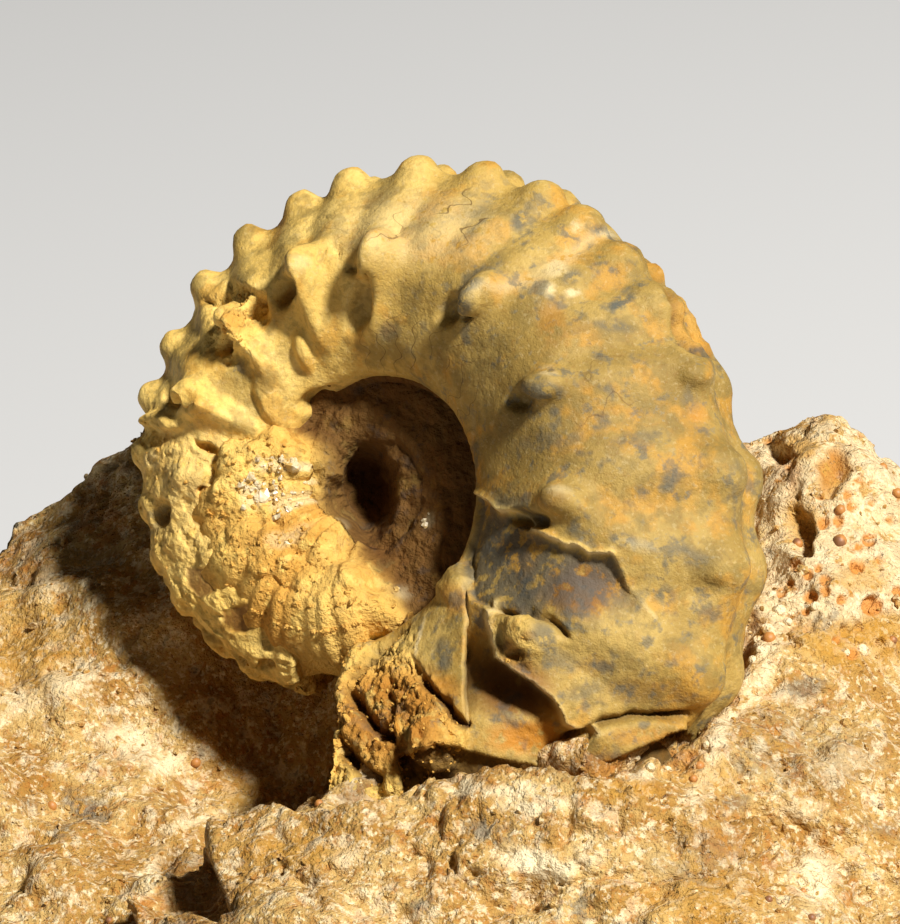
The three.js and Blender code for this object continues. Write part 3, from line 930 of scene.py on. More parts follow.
    def build(self) -> bpy.types.Object:
        """Models the whorl.

        Returns:
            The finished mesh, with its masks and its UV map along the coil.
        """
        tube = self._sheet()
        stored = [Workbench.values(tube, name) for name in ("angle", "share", "kept")]
        Workbench.move(tube, self._surface(*stored))
        Workbench.close(tube)
        points, normals = Workbench.points(tube), Workbench.normals(tube)
        angle, share, kept = (Workbench.values(tube, name) for name in ("angle", "share", "kept"))
        height, depth, masks = self._wear(points, Tracing(points, normals, self.view, 2.0), angle)
        raised = points + (height * (0.4 + 0.6 * kept))[:, None] * normals
        Workbench.move(tube, raised - depth[:, None] * self.view.axes()[2])
        Workbench.masks(tube, masks)
        self._unwrap(tube, angle, 1 - np.abs(1 - 2 * share))
        Workbench.settle(tube, "ammonite_last_whorl", Slot.FOSSIL)
        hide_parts("ammonite")
        return tube

    def _unwrap(self, tube: bpy.types.Object, angle: np.ndarray, across: np.ndarray) -> None:
        """Gives the tube a UV map: turns along the coil, and the way across a flank.

        Args:
            tube: The tube.
            angle: Each vertex's angle.
            across: How far across its flank each vertex lies.
        """
        loops = np.empty(len(tube.data.loops), np.int32)
        tube.data.loops.foreach_get("vertex_index", loops)
        layer = tube.data.uv_layers.new(name="coil")
        layer.data.foreach_set("uv", np.stack([angle / FULL_TURN, across], axis=-1)[loops].ravel())


@dataclass
class UmbilicalFill:
    """The worn inner whorls and the crumbly stone in the umbilicus, as one lens inside the last whorl."""

    coil: Coil
    view: PhotoView
    segments: int = 300
    rings: int = 190
    reach: float = 0.62
    flatness: float = 0.34
    seam: float = 0.33
    raise_by: float = 2.3
    far_filling: float = 2.9
    hole_depth: float = 2.3
    deepest: Pixel = (374, 490)
    flank: tuple[Pixel, ...] = (
        (0.33, 0.13), (0.345, 0.19), (0.365, 0.225), (0.5, 0.288), (0.66, 0.3), (0.76, 0.24),
    )  # fmt: skip
    noise: Noise = field(default_factory=lambda: Noise(23))
    raised: tuple[Pixel, ...] = (
        (240, 440), (290, 430), (335, 455), (350, 545), (385, 580), (420, 640), (330, 690), (250, 650),
        (225, 560), (225, 490),
    )  # fmt: skip
    # The hole in the middle: pushed back along the view and painted black as painted shade.
    hole: tuple[Spot, ...] = (Spot(366, 490, 30, 46),)
    white_spots: tuple[Spot, ...] = (
        Spot(270, 500, 16, 18, 0.8), Spot(290, 470, 16, 8, 0.9), Spot(312, 483, 12, 7, 0.9),
        Spot(296, 515, 12, 12, 0.7), Spot(300, 550, 16, 12, 0.5), Spot(430, 522, 8, 9, 0.9),
        Spot(407, 593, 7, 9, 0.8), Spot(345, 532, 10, 6, 0.5),
    )  # fmt: skip

    def _flank_height(self, radius: np.ndarray, turn: np.ndarray) -> np.ndarray:
        """Height of the inner whorls over the coil plane.

        Args:
            radius: Distance from the axis.
            turn: Angle in the coil plane.

        Returns:
            The height at each place.
        """
        base = self.coil.scale(turn)
        inwards = np.ceil(np.log(self.seam * base / np.maximum(radius, 0.2)) / math.log(self.coil.expansion))
        scale = base / self.coil.expansion**inwards
        ratios, heights = zip(*self.flank)
        return self.flatness * scale * np.interp(radius / scale, ratios, heights)

    def build(self) -> bpy.types.Object:
        """Models the fill.

        Returns:
            The finished mesh with its masks.
        """
        Workbench.clear()
        bpy.ops.mesh.primitive_uv_sphere_add(segments=self.segments, ring_count=self.rings, radius=1)
        lens = bpy.context.object
        x, y, z = (Workbench.points(lens) * MM).T
        turn = np.degrees(np.arctan2(y, x))
        cover = turn + FULL_TURN * np.ceil((self.coil.end_angle - turn) / FULL_TURN)
        ending = 1 - fade(cover, self.coil.end_angle + 4, self.coil.end_angle + 45)
        widest = self.reach * self.coil.scale(cover) / self.coil.expansion**ending
        radius = widest * (1 - np.abs(np.arcsin(np.clip(z, -1, 1))) / (math.pi / 2))
        height = self._flank_height(radius, turn) * fade(radius / widest, 1.0, 0.93)
        far = z < 0
        height = height + far * self.far_filling * fade(radius / widest, 0.85, 0.25)
        Workbench.move(lens, self.coil.place(radius, np.sign(z) * height, turn))
        Workbench.close(lens)
        normals = Workbench.normals(lens)
        points = Workbench.points(lens)
        traced = Tracing(points, normals, self.view, 5.0)
        away = np.linalg.norm(traced.places - self.deepest, axis=1)
        raised = traced.area(self.raised, 22) * (0.15 + 0.85 * fade(away, 20, 130))
        hole = traced.spots(self.hole)
        nearest, second = self.noise.cells(points, 0.9)
        crumbs = 0.35 * self.noise.fractal(points, 1.5, 4) + 0.3 * (0.5 - nearest)
        crumbs = crumbs + 0.12 * fade(second - nearest, 0, 0.4)
        lift = crumbs * (0.45 + 0.55 * raised) + self.raise_by * raised
        sunken = self.hole_depth * hole[:, None] * self.view.axes()[2]
        Workbench.move(lens, points + lift[:, None] * normals - sunken)
        # The part of the fill that is not raised lies in shadow and is painted dark: umber, painted shade and
        # a duller tone than the raised part. The hole is painted black as painted shade.
        sunk = (1 - fade(raised, 0.05, 0.4)) * ~far
        masks = {
            Mask.ROUGH: 1.0,
            Mask.PALE_AND_HIGHLIGHT: traced.spots(self.white_spots),
            Mask.RUST: 0.35 + 0.5 * self.noise.smooth(points, 2.0),
            Mask.UMBER_AND_SHADE: 0.8 * sunk,
            Mask.SHADE: np.maximum(0.82 * sunk, hole),
            Mask.TONE: 0.3 + 0.5 * raised,
        }
        Workbench.masks(lens, masks)
        Workbench.settle(lens, "umbilical_fill", Slot.FOSSIL)
        return lens


@dataclass
class MatrixBlock:
    """The loose block of limestone: a broken top, rough sides and a flat base."""

    HASH_STEPS: ClassVar[tuple[float, float, float]] = (127.1, 311.7, 74.7)
    HASH_SIZE: ClassVar[float] = 43758.5453

    view: PhotoView
    width: float = 50.0
    depth: float = 46.0
    corner_power: float = 3.4
    foot_inset: float = 0.93
    rim_round: float = 0.96
    slack: float = 0.985
    facet_size: float = 7.0
    facet_height: float = 1.6
    ledge_height: float = 1.5
    gap_depth: float = 2.0
    crack_depth: float = 0.9
    cliff_depth: float = 1.4
    pit_depth: float = 0.9
    outline_waves: float = 0.05
    base_gap: float = 0.02
    columns: int = 178
    lines: int = 160
    side_rows: int = 44
    side_profile: tuple[tuple[float, float], ...] = (
        (0.0, 0.93), (0.16, 1.0), (0.45, 1.015), (0.75, 1.0), (1.0, 0.96),
    )  # fmt: skip
    base_shares: tuple[float, ...] = (0.6, 0.25, 0.0)
    top_reach: float = 3.4
    top_heights: tuple[tuple[float, float, float], ...] = (
        (-20, 16, 13.2), (-14, 16, 19.6), (-21, 8, 12.2), (-15.2, 9, 15.6), (-18, 2, 12.4),
        (-14, -3, 10.6), (-18, -6, 11), (-7.5, -4.5, 8.4), (-11, -9.5, 10.6), (-17, -13, 9.4),
        (-11.5, -16.5, 10), (-7, -12.5, 14.4), (-2.5, -10.8, 17.2), (2, -11.4, 17.2), (7, -11.6, 18.4),
        (-2, -17, 13.6), (7, -17.5, 14.4), (17, -17, 12.6), (11, -8.6, 19.4), (15, -8, 18.4),
        (20.5, -6, 16.4), (14, 0, 21), (12.4, 7, 22), (17, 8.4, 23), (22, 9, 17.5), (15, 18, 16),
        (0, 18, 15), (2, 6, 19),
    )  # fmt: skip
    notches: tuple[tuple[float, float, float, float, float], ...] = (
        (13.2, 6.0, 1.3, 5.0, -2.8),
        (16.6, 7.0, 1.6, 3.0, 0.6),
    )
    lump_sizes: tuple[tuple[float, float], ...] = ((7.5, 1.2), (3.1, 0.7))
    noise: Noise = field(default_factory=lambda: Noise(37))
    fine_face: tuple[Pixel, ...] = ((738, 395), (925, 395), (925, 665), (738, 665))
    fine_front: tuple[Pixel, ...] = (
        (130, 810), (330, 770), (560, 730), (720, 690), (740, 560), (930, 560), (930, 950), (120, 950),
    )  # fmt: skip
    ledge: tuple[Pixel, ...] = (
        (150, 960), (158, 900), (164, 866), (182, 846), (225, 838), (268, 824), (330, 820), (420, 800),
        (560, 800), (760, 840), (920, 900), (920, 960),
    )  # fmt: skip
    # The cliff at the front left: cut back and darkened as painted shade.
    cliff: tuple[Pixel, ...] = (
        (164, 852), (186, 848), (214, 862), (230, 888), (243, 935), (166, 935), (160, 890),
    )  # fmt: skip
    # The gap under the fossil: cut down and darkened as painted shade.
    contact_gap: tuple[Pixel, ...] = (
        (345, 797), (385, 768), (408, 760), (451, 746), (497, 752), (543, 760), (566, 767), (600, 756),
        (655, 734), (690, 715),
    )  # fmt: skip
    side_crack: tuple[Pixel, ...] = ((690, 720), (716, 692), (736, 668), (746, 640), (756, 612))
    dents: tuple[Spot, ...] = (
        Spot(831, 474, 16, 24, 0.6, 12), Spot(797, 528, 14, 22, 1.3, -10), Spot(778, 452, 12, 16, 0.8),
        Spot(612, 812, 14, 6, 0.7, 10), Spot(640, 800, 12, 5, 0.5), Spot(745, 650, 8, 16, 0.9, 15),
        Spot(205, 880, 30, 40, 0.8, 20),
    )  # fmt: skip
    pits: tuple[tuple[float, float, float], ...] = (
        (789, 462, 7), (858, 481, 4), (848, 495, 5), (852, 506, 5), (823, 523, 6.5), (839, 521, 6),
        (869, 540, 7), (859, 547, 4), (795, 565, 7), (808, 574, 6), (818, 568, 4), (825, 580, 6),
        (825, 591, 6), (810, 597, 7), (789, 584, 4), (781, 593, 5), (857, 566, 8), (872, 606, 10),
        (897, 591, 5), (768, 441, 3.5), (756, 428, 3.5), (853, 654, 6), (871, 483, 3), (871, 503, 3.5),
        (862, 434, 3.5), (880, 560, 4), (890, 520, 5), (842, 600, 5), (836, 640, 4), (805, 612, 4),
    )  # fmt: skip
    pale_face: tuple[Pixel, ...] = (
        (742, 405), (775, 445), (850, 415), (905, 440), (905, 610), (850, 625), (800, 628), (770, 662),
        (748, 660), (765, 560),
    )  # fmt: skip
    pale_vein: tuple[Pixel, ...] = ((768, 672), (740, 700), (720, 730), (705, 770), (692, 800))
    white_spots: tuple[Spot, ...] = (
        Spot(460, 787, 20, 12, 0.9), Spot(510, 790, 40, 9, 0.7), Spot(540, 806, 40, 10, 0.8),
        Spot(540, 862, 44, 14, 1.0, 10), Spot(345, 855, 22, 10, 0.6), Spot(400, 785, 14, 8, 0.8),
        Spot(590, 850, 18, 18, 0.6), Spot(640, 776, 16, 8, 0.5), Spot(70, 680, 30, 22, 0.8),
        Spot(130, 745, 34, 18, 0.8, 25), Spot(165, 765, 22, 14, 0.9), Spot(45, 585, 12, 20, 0.7),
        Spot(20, 700, 30, 20, 0.5), Spot(150, 872, 10, 30, 0.8, 25), Spot(190, 822, 36, 8, 0.6, -15),
        Spot(862, 650, 20, 9, 0.7), Spot(815, 880, 24, 28, 0.9), Spot(800, 810, 26, 14, 0.6),
        Spot(690, 705, 20, 8, 0.8, -35), Spot(850, 760, 40, 14, 0.35), Spot(100, 470, 34, 6, 0.5, -20),
    )  # fmt: skip
    grey_spots: tuple[Spot, ...] = (
        Spot(480, 828, 18, 14, 0.9), Spot(505, 838, 10, 10, 0.8), Spot(85, 808, 30, 14, 0.9, 25),
        Spot(60, 830, 14, 10, 0.6), Spot(30, 800, 12, 8, 0.5), Spot(580, 905, 20, 12, 0.7),
        Spot(420, 905, 16, 10, 0.6), Spot(820, 620, 22, 10, 0.6), Spot(800, 690, 30, 12, 0.7, -20),
        Spot(745, 760, 20, 16, 0.6), Spot(735, 800, 24, 10, 0.5), Spot(690, 880, 26, 10, 0.5, 20),
        Spot(880, 830, 24, 8, 0.4, 25), Spot(600, 812, 10, 8, 0.5), Spot(800, 750, 90, 50, 0.35),
        Spot(700, 860, 70, 40, 0.3),
    )  # fmt: skip
    rust_spots: tuple[Spot, ...] = (
        Spot(150, 905, 20, 16, 0.8), Spot(20, 560, 30, 30, 0.6), Spot(830, 470, 14, 26, 0.8, 20),
        Spot(790, 475, 14, 20, 0.6), Spot(600, 770, 30, 8, 0.7), Spot(680, 760, 24, 14, 0.8),
        Spot(230, 780, 40, 10, 0.5), Spot(720, 840, 30, 30, 0.4), Spot(770, 860, 8, 8, 0.8),
        Spot(100, 520, 30, 40, 0.7),
    )  # fmt: skip
    gold_spots: tuple[Spot, ...] = (
        Spot(831, 474, 20, 28, 1.0, 12), Spot(803, 447, 18, 12, 0.9, -20), Spot(860, 575, 30, 20, 0.7),
        Spot(800, 520, 20, 30, 0.9, -10), Spot(850, 640, 60, 30, 0.8), Spot(700, 775, 40, 20, 0.6),
        Spot(630, 790, 30, 10, 0.7), Spot(30, 640, 60, 60, 0.5), Spot(250, 790, 40, 14, 0.6),
        Spot(290, 850, 70, 14, 0.5), Spot(700, 900, 80, 30, 0.5),
    )  # fmt: skip

    def _lattice_noise(self, points: np.ndarray) -> np.ndarray:
        """Smooth noise from about -1 to 1 that changes over a length of 1, the same as in the solid block."""
        low = np.floor(points)
        part = points - low
        part = part * part * (3 - 2 * part)
        total = np.zeros(points.shape[:-1])
        for corner in itertools.product((0, 1), repeat=3):
            at = low + corner
            wave = np.sin(at @ np.array(self.HASH_STEPS)) * self.HASH_SIZE
            weight = np.prod(np.where(np.array(corner) == 1, part, 1 - part), axis=-1)
            total += weight * (2 * (wave - np.floor(wave)) - 1)
        return total

    def _outline(self, turn: np.ndarray) -> np.ndarray:
        """Distance from the middle to the block's outline, seen from above."""
        cosine, sine = np.cos(turn), np.sin(turn)
        power = self.corner_power
        across, along = np.abs(2 * cosine / self.width), np.abs(2 * sine / self.depth)
        reach = (across**power + along**power) ** (-1 / power)
        around = np.stack([2.2 * cosine + 5, 2.2 * sine, np.full_like(turn, 3)], axis=-1)
        return reach * (1 + self.outline_waves * self._lattice_noise(around))

    def _top(self, x: np.ndarray, y: np.ndarray) -> np.ndarray:
        """Height of the block's top before its lumps."""
        spots = np.array(self.top_heights, float)
        total = np.zeros_like(x)
        weights = np.zeros_like(x)
        for px, py, pz in spots:
            weight = np.exp(-((x - px) ** 2 + (y - py) ** 2) / (2 * self.top_reach**2)) + 1e-6
            total += weight * pz
            weights += weight
        height = total / weights
        for px, py, wide, deep, rise in self.notches:
            height += rise * np.exp(-(((x - px) / wide) ** 2 + ((y - py) / deep) ** 2) / 2)
        return height

    def _lumped(self, points: np.ndarray) -> np.ndarray:
        """Moves points by the block's large lumps, but not on its base."""
        x, y, z = points.T
        lump = np.zeros_like(x)
        for size, height in self.lump_sizes:
            lump += height * self._lattice_noise(np.stack([x / size, y / size, z / size + 9], axis=-1))
        lump = np.where(z > 0, lump, 0)
        sideways = 1 + 0.6 * lump / np.sqrt(x**2 + y**2 + 16)
        return np.stack([x * sideways, y * sideways, z + np.where(z > 4, 0.8 * lump, 0)], axis=-1)

    def _slab(self) -> tuple[bpy.types.Object, np.ndarray]:
        """A grid for the top with rows of faces hung from its rim, down to the middle of the base.

        Returns:
            The slab, and each vertex's row: 0 on the top, then 1 and on down the sides and over the base.
        """
        Workbench.clear()
        bpy.ops.mesh.primitive_grid_add(
            x_subdivisions=self.columns, y_subdivisions=self.lines, size=2, calc_uvs=False
        )
        slab = bpy.context.object
        for zone, cuts in ((self.fine_front, 1), (self.fine_face, 1)):
            grid = Workbench.points(slab) * MM
            points = self._shape(grid, np.zeros(len(grid), int))
            upwards = np.broadcast_to(self.view.axes()[2], points.shape)
            Workbench.refine(slab, Tracing(points, upwards, self.view, 0.0).area(zone) > 0.5, cuts)
        counts = [len(slab.data.vertices)]
        bpy.ops.object.mode_set(mode="EDIT")
        bpy.ops.mesh.select_mode(type="EDGE")
        bpy.ops.mesh.select_all(action="DESELECT")
        bpy.ops.mesh.select_non_manifold()
        for _ in range(self.side_rows + len(self.base_shares)):
            bpy.ops.mesh.extrude_edges_move()
            slab.update_from_editmode()
            counts.append(len(slab.data.vertices))
        bpy.ops.mesh.select_mode(type="VERT")
        bpy.ops.object.mode_set(mode="OBJECT")
        row = np.searchsorted(np.array(counts), np.arange(counts[-1]), side="right")
        return slab, row

    def _shape(self, grid: np.ndarray, row: np.ndarray) -> np.ndarray:
        """Places the slab's vertices on the block's large form.

        Args:
            grid: The slab's vertices, on a square of side 2.
            row: Each vertex's row.

        Returns:
            Points in millimetres.
        """
        s, t = grid[:, 0], grid[:, 1]
        ring = np.maximum(np.abs(s), np.abs(t))
        turn = np.arctan2(t, s)
        outline = self._outline(turn)
        level = np.where(row == 0, 1.0, np.clip(1 - row / self.side_rows, 0, 1))
        levels, bulges = zip(*self.side_profile)
        share = np.where(row == 0, self.rim_round * ring, np.interp(level, levels, bulges))
        for extra, base_share in enumerate(self.base_shares):
            share = np.where(row == self.side_rows + 1 + extra, self.foot_inset * base_share, share)
        x, y = share * outline * np.cos(turn), share * outline * np.sin(turn)
        rim = np.where(row == 0, 1.0, self.rim_round / np.maximum(share, 1e-6))
        z = level * self._top(x * rim, y * rim)
        return self._lumped(np.stack([x, y, z], axis=-1))

    def _fitted(self, points: np.ndarray) -> np.ndarray:
        """Brings points to the width and depth of the solid block."""
        low, high = (np.array(corner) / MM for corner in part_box("matrix"))
        span = points.max(axis=0) - points.min(axis=0)
        middle = (points.max(axis=0) + points.min(axis=0)) / 2
        scale = (high - low)[:2] / span[:2]
        fitted = points.copy()
        fitted[:, :2] = (points[:, :2] - middle[:2]) * scale * self.slack + (low + high)[:2] / 2
        return fitted

    def _rubble(self, points: np.ndarray, normals: np.ndarray, traced: Tracing) -> np.ndarray:
        """Moves points by the broken stone's ledges, lumps and grains.

        Args:
            points: The large form's points.
            normals: Its normals.
            traced: The same points in the reference frame.

        Returns:
            The moved points.
        """
        front = 1 - fade(points[:, 1], -9, -5)
        weathered = 1 - 0.65 * traced.area(self.pale_face, 8)
        nearest, _ = self.noise.cells(points, 2.6)
        chips, _ = self.noise.cells(points, 0.9)
        pocks = fade(self.noise.fractal(points + 13, 0.8, 3), 0.15, 0.6)
        facets, _ = self.noise.cells(points, self.facet_size)
        height = 0.5 * self.noise.fractal(points, 2.6, 5) + 0.45 * (0.5 - nearest) * weathered
        height += (0.24 * (0.5 - chips) - 0.3 * pocks) * weathered
        height += self.facet_height * (0.5 - facets) * fade(np.abs(normals[:, 2]), 0.75, 0.35)
        height += self.ledge_height * traced.area(self.ledge, 4) * front
        height -= self.gap_depth * traced.line(self.contact_gap, 12)
        height -= self.crack_depth * traced.line(self.side_crack, 5)
        height -= traced.spots(self.dents) + self.cliff_depth * traced.area(self.cliff, 6)
        lifted = fade(points[:, 2], 0.3, 2.5)
        moved = points + (height * lifted)[:, None] * normals
        moved[:, 2] = np.where(points[:, 2] <= 0, 0, np.maximum(moved[:, 2], self.base_gap))
        return moved

    def build(self) -> bpy.types.Object:
        """Models the block.

        Returns:
            The finished mesh with its masks.
        """
        slab, row = self._slab()
        points = self._fitted(self._shape(Workbench.points(slab) * MM, row))
        Workbench.move(slab, points)
        Workbench.close(slab)
        points, normals = Workbench.points(slab), Workbench.normals(slab)
        traced = Tracing(points, normals, self.view, 5.0)
        Workbench.move(slab, self._rubble(points, normals, traced))
        points, normals = Workbench.points(slab), Workbench.normals(slab)
        bowls, spots = self._ooid_pits(Tracing(points, normals, self.view, 0.6))
        Workbench.move(slab, points - bowls[:, None] * normals)
        self._mark(slab, Tracing(points, normals, self.view, 6.0), spots)
        Workbench.settle(slab, "matrix_block", Slot.BLOCK)
        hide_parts("matrix")
        return slab

    def _ooid_pits(self, traced: Tracing) -> tuple[np.ndarray, np.ndarray]:
        """The round pits that fallen ooids left in the fresh face.

        Args:
            traced: The block's points in the reference frame.

        Returns:
            How deep the pits are, and a mask of them.
        """
        depth, inside = np.zeros((2, len(traced.places)))
        for x, y, radius in self.pits:
            share = np.linalg.norm(traced.places - (x, y), axis=1) / radius
            bowl = np.sqrt(np.clip(1 - share**2, 0, 1))
            depth = np.maximum(depth, self.pit_depth * radius / self.view.pixels_per_mm * bowl)
            inside = np.maximum(inside, fade(share, 1.2, 0.85))
        return depth * traced.facing, inside * traced.facing

    def _mark(self, slab: bpy.types.Object, traced: Tracing, ooids: np.ndarray) -> None:
        """Stores the block's masks.

        Args:
            slab: The block.
            traced: Its points in the reference frame.
            ooids: A mask of the ooids' pits.
        """
        pale = np.maximum(0.6 * traced.area(self.pale_face, 10), traced.spots(self.white_spots))
        pale = np.maximum(pale, 0.8 * traced.line(self.pale_vein, 7))
        # Painted shade: darker along the gap under the fossil and on the cliff at the front left, where
        # shadow falls, and along the side crack.
        shade = [0.8 * traced.line(self.contact_gap, 9), traced.line(self.side_crack, 4)]
        shade += [0.75 * traced.area(self.cliff, 9)]
        masks = {
            Mask.PALE_AND_HIGHLIGHT: pale,
            Mask.STAIN: traced.spots(self.grey_spots),
            Mask.RUST: traced.spots(self.rust_spots),
            Mask.UMBER_AND_SHADE: ooids,
            Mask.TONE: traced.spots(self.gold_spots),
            Mask.SHADE: np.max(shade, axis=0),
        }
        Workbench.masks(slab, masks)


@dataclass(frozen=True)
class Surface:
    """A piece's faces, to scatter grains on."""

    centres: np.ndarray
    normals: np.ndarray
    areas: np.ndarray
    corners: np.ndarray

    @classmethod
    def of(cls, piece: bpy.types.Object) -> "Surface":
        """Reads a piece's faces, in millimetres."""
        faces = piece.data.polygons
        centres, normals = np.empty((2, 3 * len(faces)), np.float32)
        areas = np.empty(len(faces), np.float32)
        starts = np.empty(len(faces), np.int32)
        loops = np.empty(len(piece.data.loops), np.int32)
        faces.foreach_get("center", centres)
        faces.foreach_get("normal", normals)
        faces.foreach_get("area", areas)
        faces.foreach_get("loop_start", starts)
        piece.data.loops.foreach_get("vertex_index", loops)
        return cls(centres.reshape(-1, 3) / MM, normals.reshape(-1, 3).astype(float), areas, loops[starts])

    def scatter(self, count: int, weight: np.ndarray, draw: np.random.Generator) -> np.ndarray:
        """Picks faces at random.

        Args:
            count: How many.
            weight: How likely a face is for its area.
            draw: The random numbers.

        Returns:
            The faces' numbers.
        """
        chance = self.areas * np.clip(weight, 0, None)
        return draw.choice(len(chance), count, p=chance / chance.sum())


@dataclass
class Grains:
    """Crumbs and ooids on the stone, one joined mesh for each kind."""

    view: PhotoView
    segments: int = 7
    rings: int = 5
    crust_crumbs: int = 1500
    fill_crumbs: int = 600
    crystals: int = 80
    block_crumbs: int = 2200
    block_ooids: int = 45
    crust_crumb_size: float = 0.048
    fill_crumb_size: float = 0.055
    crystal_size: float = 0.1
    block_crumb_size: float = 0.085
    smallest_ooid: float = 0.13
    largest_ooid: float = 0.25
    size_spread: float = 0.42
    crumb_raggedness: float = 0.55
    balls: tuple[tuple[float, float, float], ...] = (
        (882.5, 468, 5.7), (840, 542, 7), (798, 545, 6), (769, 638, 7), (735, 470, 4), (700, 765, 5),
        (893, 640, 5),
    )  # fmt: skip
    white_balls: tuple[tuple[float, float, float], ...] = (
        (779, 612, 8), (766, 630, 7), (771, 596, 6), (760, 650, 5), (788, 622, 5), (752, 660, 5),
        (757, 640, 5), (815, 606, 5), (862, 650, 7), (846, 652, 4), (705, 745, 5), (650, 768, 5),
        (636, 760, 4), (668, 770, 5),
    )  # fmt: skip

    def _ball(self) -> tuple[np.ndarray, list[tuple[int, ...]]]:
        """One round grain's vertices and faces."""
        Workbench.clear()
        bpy.ops.mesh.primitive_uv_sphere_add(segments=self.segments, ring_count=self.rings, radius=1)
        ball = bpy.context.object
        points = Workbench.points(ball) * MM
        faces = [tuple(face.vertices) for face in ball.data.polygons]
        bpy.ops.object.delete()
        return points, faces

    @staticmethod
    def _turned(count: int, draw: np.random.Generator) -> np.ndarray:
        """Random turns, one matrix for each grain."""
        frames, _ = np.linalg.qr(draw.normal(size=(count, 3, 3)))
        return frames * np.sign(np.linalg.det(frames))[:, None, None]

    def _joined(
        self, name: str, centres: np.ndarray, sizes: np.ndarray, ragged: float, seed: int
    ) -> bpy.types.Object:
        """Copies the grain to many places and joins the copies.

        Args:
            name: The mesh's name.
            centres: Where the grains are, in millimetres.
            sizes: Their radii.
            ragged: 0 for round grains, about 0.4 for broken ones.
            seed: Makes the shapes repeatable.

        Returns:
            The joined mesh.
        """
        draw = np.random.default_rng(seed)
        ball, faces = self._ball()
        count = len(centres)
        stretch = 1 + ragged * draw.uniform(-1, 1, (count, 1, 3))
        lumps = 1 + 0.6 * ragged * draw.uniform(-1, 1, (count, len(ball), 1))
        shapes = (ball * stretch * lumps) @ self._turned(count, draw)
        points = (centres[:, None] + sizes[:, None, None] * shapes).reshape(-1, 3) * MM
        indices = np.arange(count) * len(ball)
        mesh = bpy.data.meshes.new(name)
        copies = [tuple(c + start for c in face) for start in indices.tolist() for face in faces]
        mesh.from_pydata(points, [], copies)
        piece = bpy.data.objects.new(name, mesh)
        bpy.context.collection.objects.link(piece)
        return piece

    def _crumbs(
        self, name: str, surface: Surface, count: int, weight: np.ndarray, size: float, seed: int
    ) -> bpy.types.Object:
        """Scatters broken crumbs over a surface.

        Args:
            name: The mesh's name.
            surface: Where they lie.
            count: How many.
            weight: Where they are likely.
            size: Their usual radius.
            seed: Makes them repeatable.

        Returns:
            The joined mesh.
        """
        draw = np.random.default_rng(seed)
        at = surface.scatter(count, weight, draw)
        sizes = size * np.exp(draw.normal(0, self.size_spread, count))
        sink = sizes * draw.uniform(-0.4, 0.35, count)
        centres = surface.centres[at] + surface.normals[at] * sink[:, None]
        return self._joined(name, centres, sizes, self.crumb_raggedness, seed)

    def _placed(
        self, name: str, surface: Surface, balls: Sequence[tuple[float, float, float]]
    ) -> bpy.types.Object:
        """Sets round grains where the reference shows them.

        Args:
            name: The mesh's name.
            surface: The surface they sit in.
            balls: Their places and radii in pixels.

        Returns:
            The joined mesh.
        """
        places = self.view.pixels(surface.centres)
        shown = surface.normals @ self.view.axes()[2] > 0.05
        centres = []
        for x, y, _ in balls:
            away = np.linalg.norm(places - (x, y), axis=1) + np.where(shown, 0, 1e3)
            centres.append(surface.centres[away.argmin()])
        radii = np.array([radius for _, _, radius in balls]) / self.view.pixels_per_mm
        return self._joined(name, np.array(centres), radii, 0.06, 9)

    def build(
        self, whorl: bpy.types.Object, fill: bpy.types.Object, block: bpy.types.Object
    ) -> list[bpy.types.Object]:
        """Makes all the grains.

        Args:
            whorl: The last whorl.
            fill: The fill of the umbilicus.
            block: The block.

        Returns:
            The crumbs of the fossil and the fill, the crystals, the block's crumbs, the ooids and the white
            grains.
        """
        shell, core, rock = (Surface.of(piece) for piece in (whorl, fill, block))
        rough = Workbench.values(whorl, Mask.ROUGH.value)[shell.corners]
        crumbs = self._crumbs("fossil_crumbs", shell, self.crust_crumbs, rough**4, self.crust_crumb_size, 51)
        facing = fade(core.normals @ self.view.axes()[2], 0.7, 0.9)
        lit = fade(Workbench.values(fill, Mask.TONE.value)[core.corners], 0.4, 0.7)
        lit = lit * facing
        filled = self._crumbs("umbilical_crumbs", core, self.fill_crumbs, lit, self.fill_crumb_size, 52)
        white = Workbench.values(fill, Mask.PALE_AND_HIGHLIGHT.value)[core.corners] * facing
        crystals = self._crumbs("calcite_crystals", core, self.crystals, white, self.crystal_size, 56)
        open_air = fade(rock.centres[:, 2], 1.5, 4) * (0.35 + fade(rock.normals[:, 2], 0, 0.4))
        rubble = self._crumbs("block_crumbs", rock, self.block_crumbs, open_air, self.block_crumb_size, 53)
        draw = np.random.default_rng(54)
        at = rock.scatter(self.block_ooids, open_air, draw)
        radii = draw.uniform(self.smallest_ooid, self.largest_ooid, len(at))
        scattered = self._joined("scattered_ooids", rock.centres[at], radii, 0.08, 55)
        ooids = self._placed("ooids", rock, self.balls)
        Workbench.clear()
        scattered.select_set(True)
        ooids.select_set(True)
        bpy.context.view_layer.objects.active = ooids
        bpy.ops.object.join()
        white = self._placed("white_grains", rock, self.white_balls)
        Workbench.masks(white, {Mask.PALE_AND_HIGHLIGHT: 1.0})
        for piece in (crumbs, filled):
            Workbench.masks(piece, {Mask.ROUGH: 1.0, Mask.TONE: 0.6, Mask.RUST: 0.5})
            Workbench.settle(piece, piece.name, Slot.FOSSIL, False)
        Workbench.settle(crystals, crystals.name, Slot.FOSSIL, False)
        Workbench.settle(rubble, rubble.name, Slot.BLOCK, False)
        for piece in (ooids, white):
            Workbench.settle(piece, piece.name, Slot.BLOCK)
        return [crumbs, filled, crystals, rubble, ooids, white]


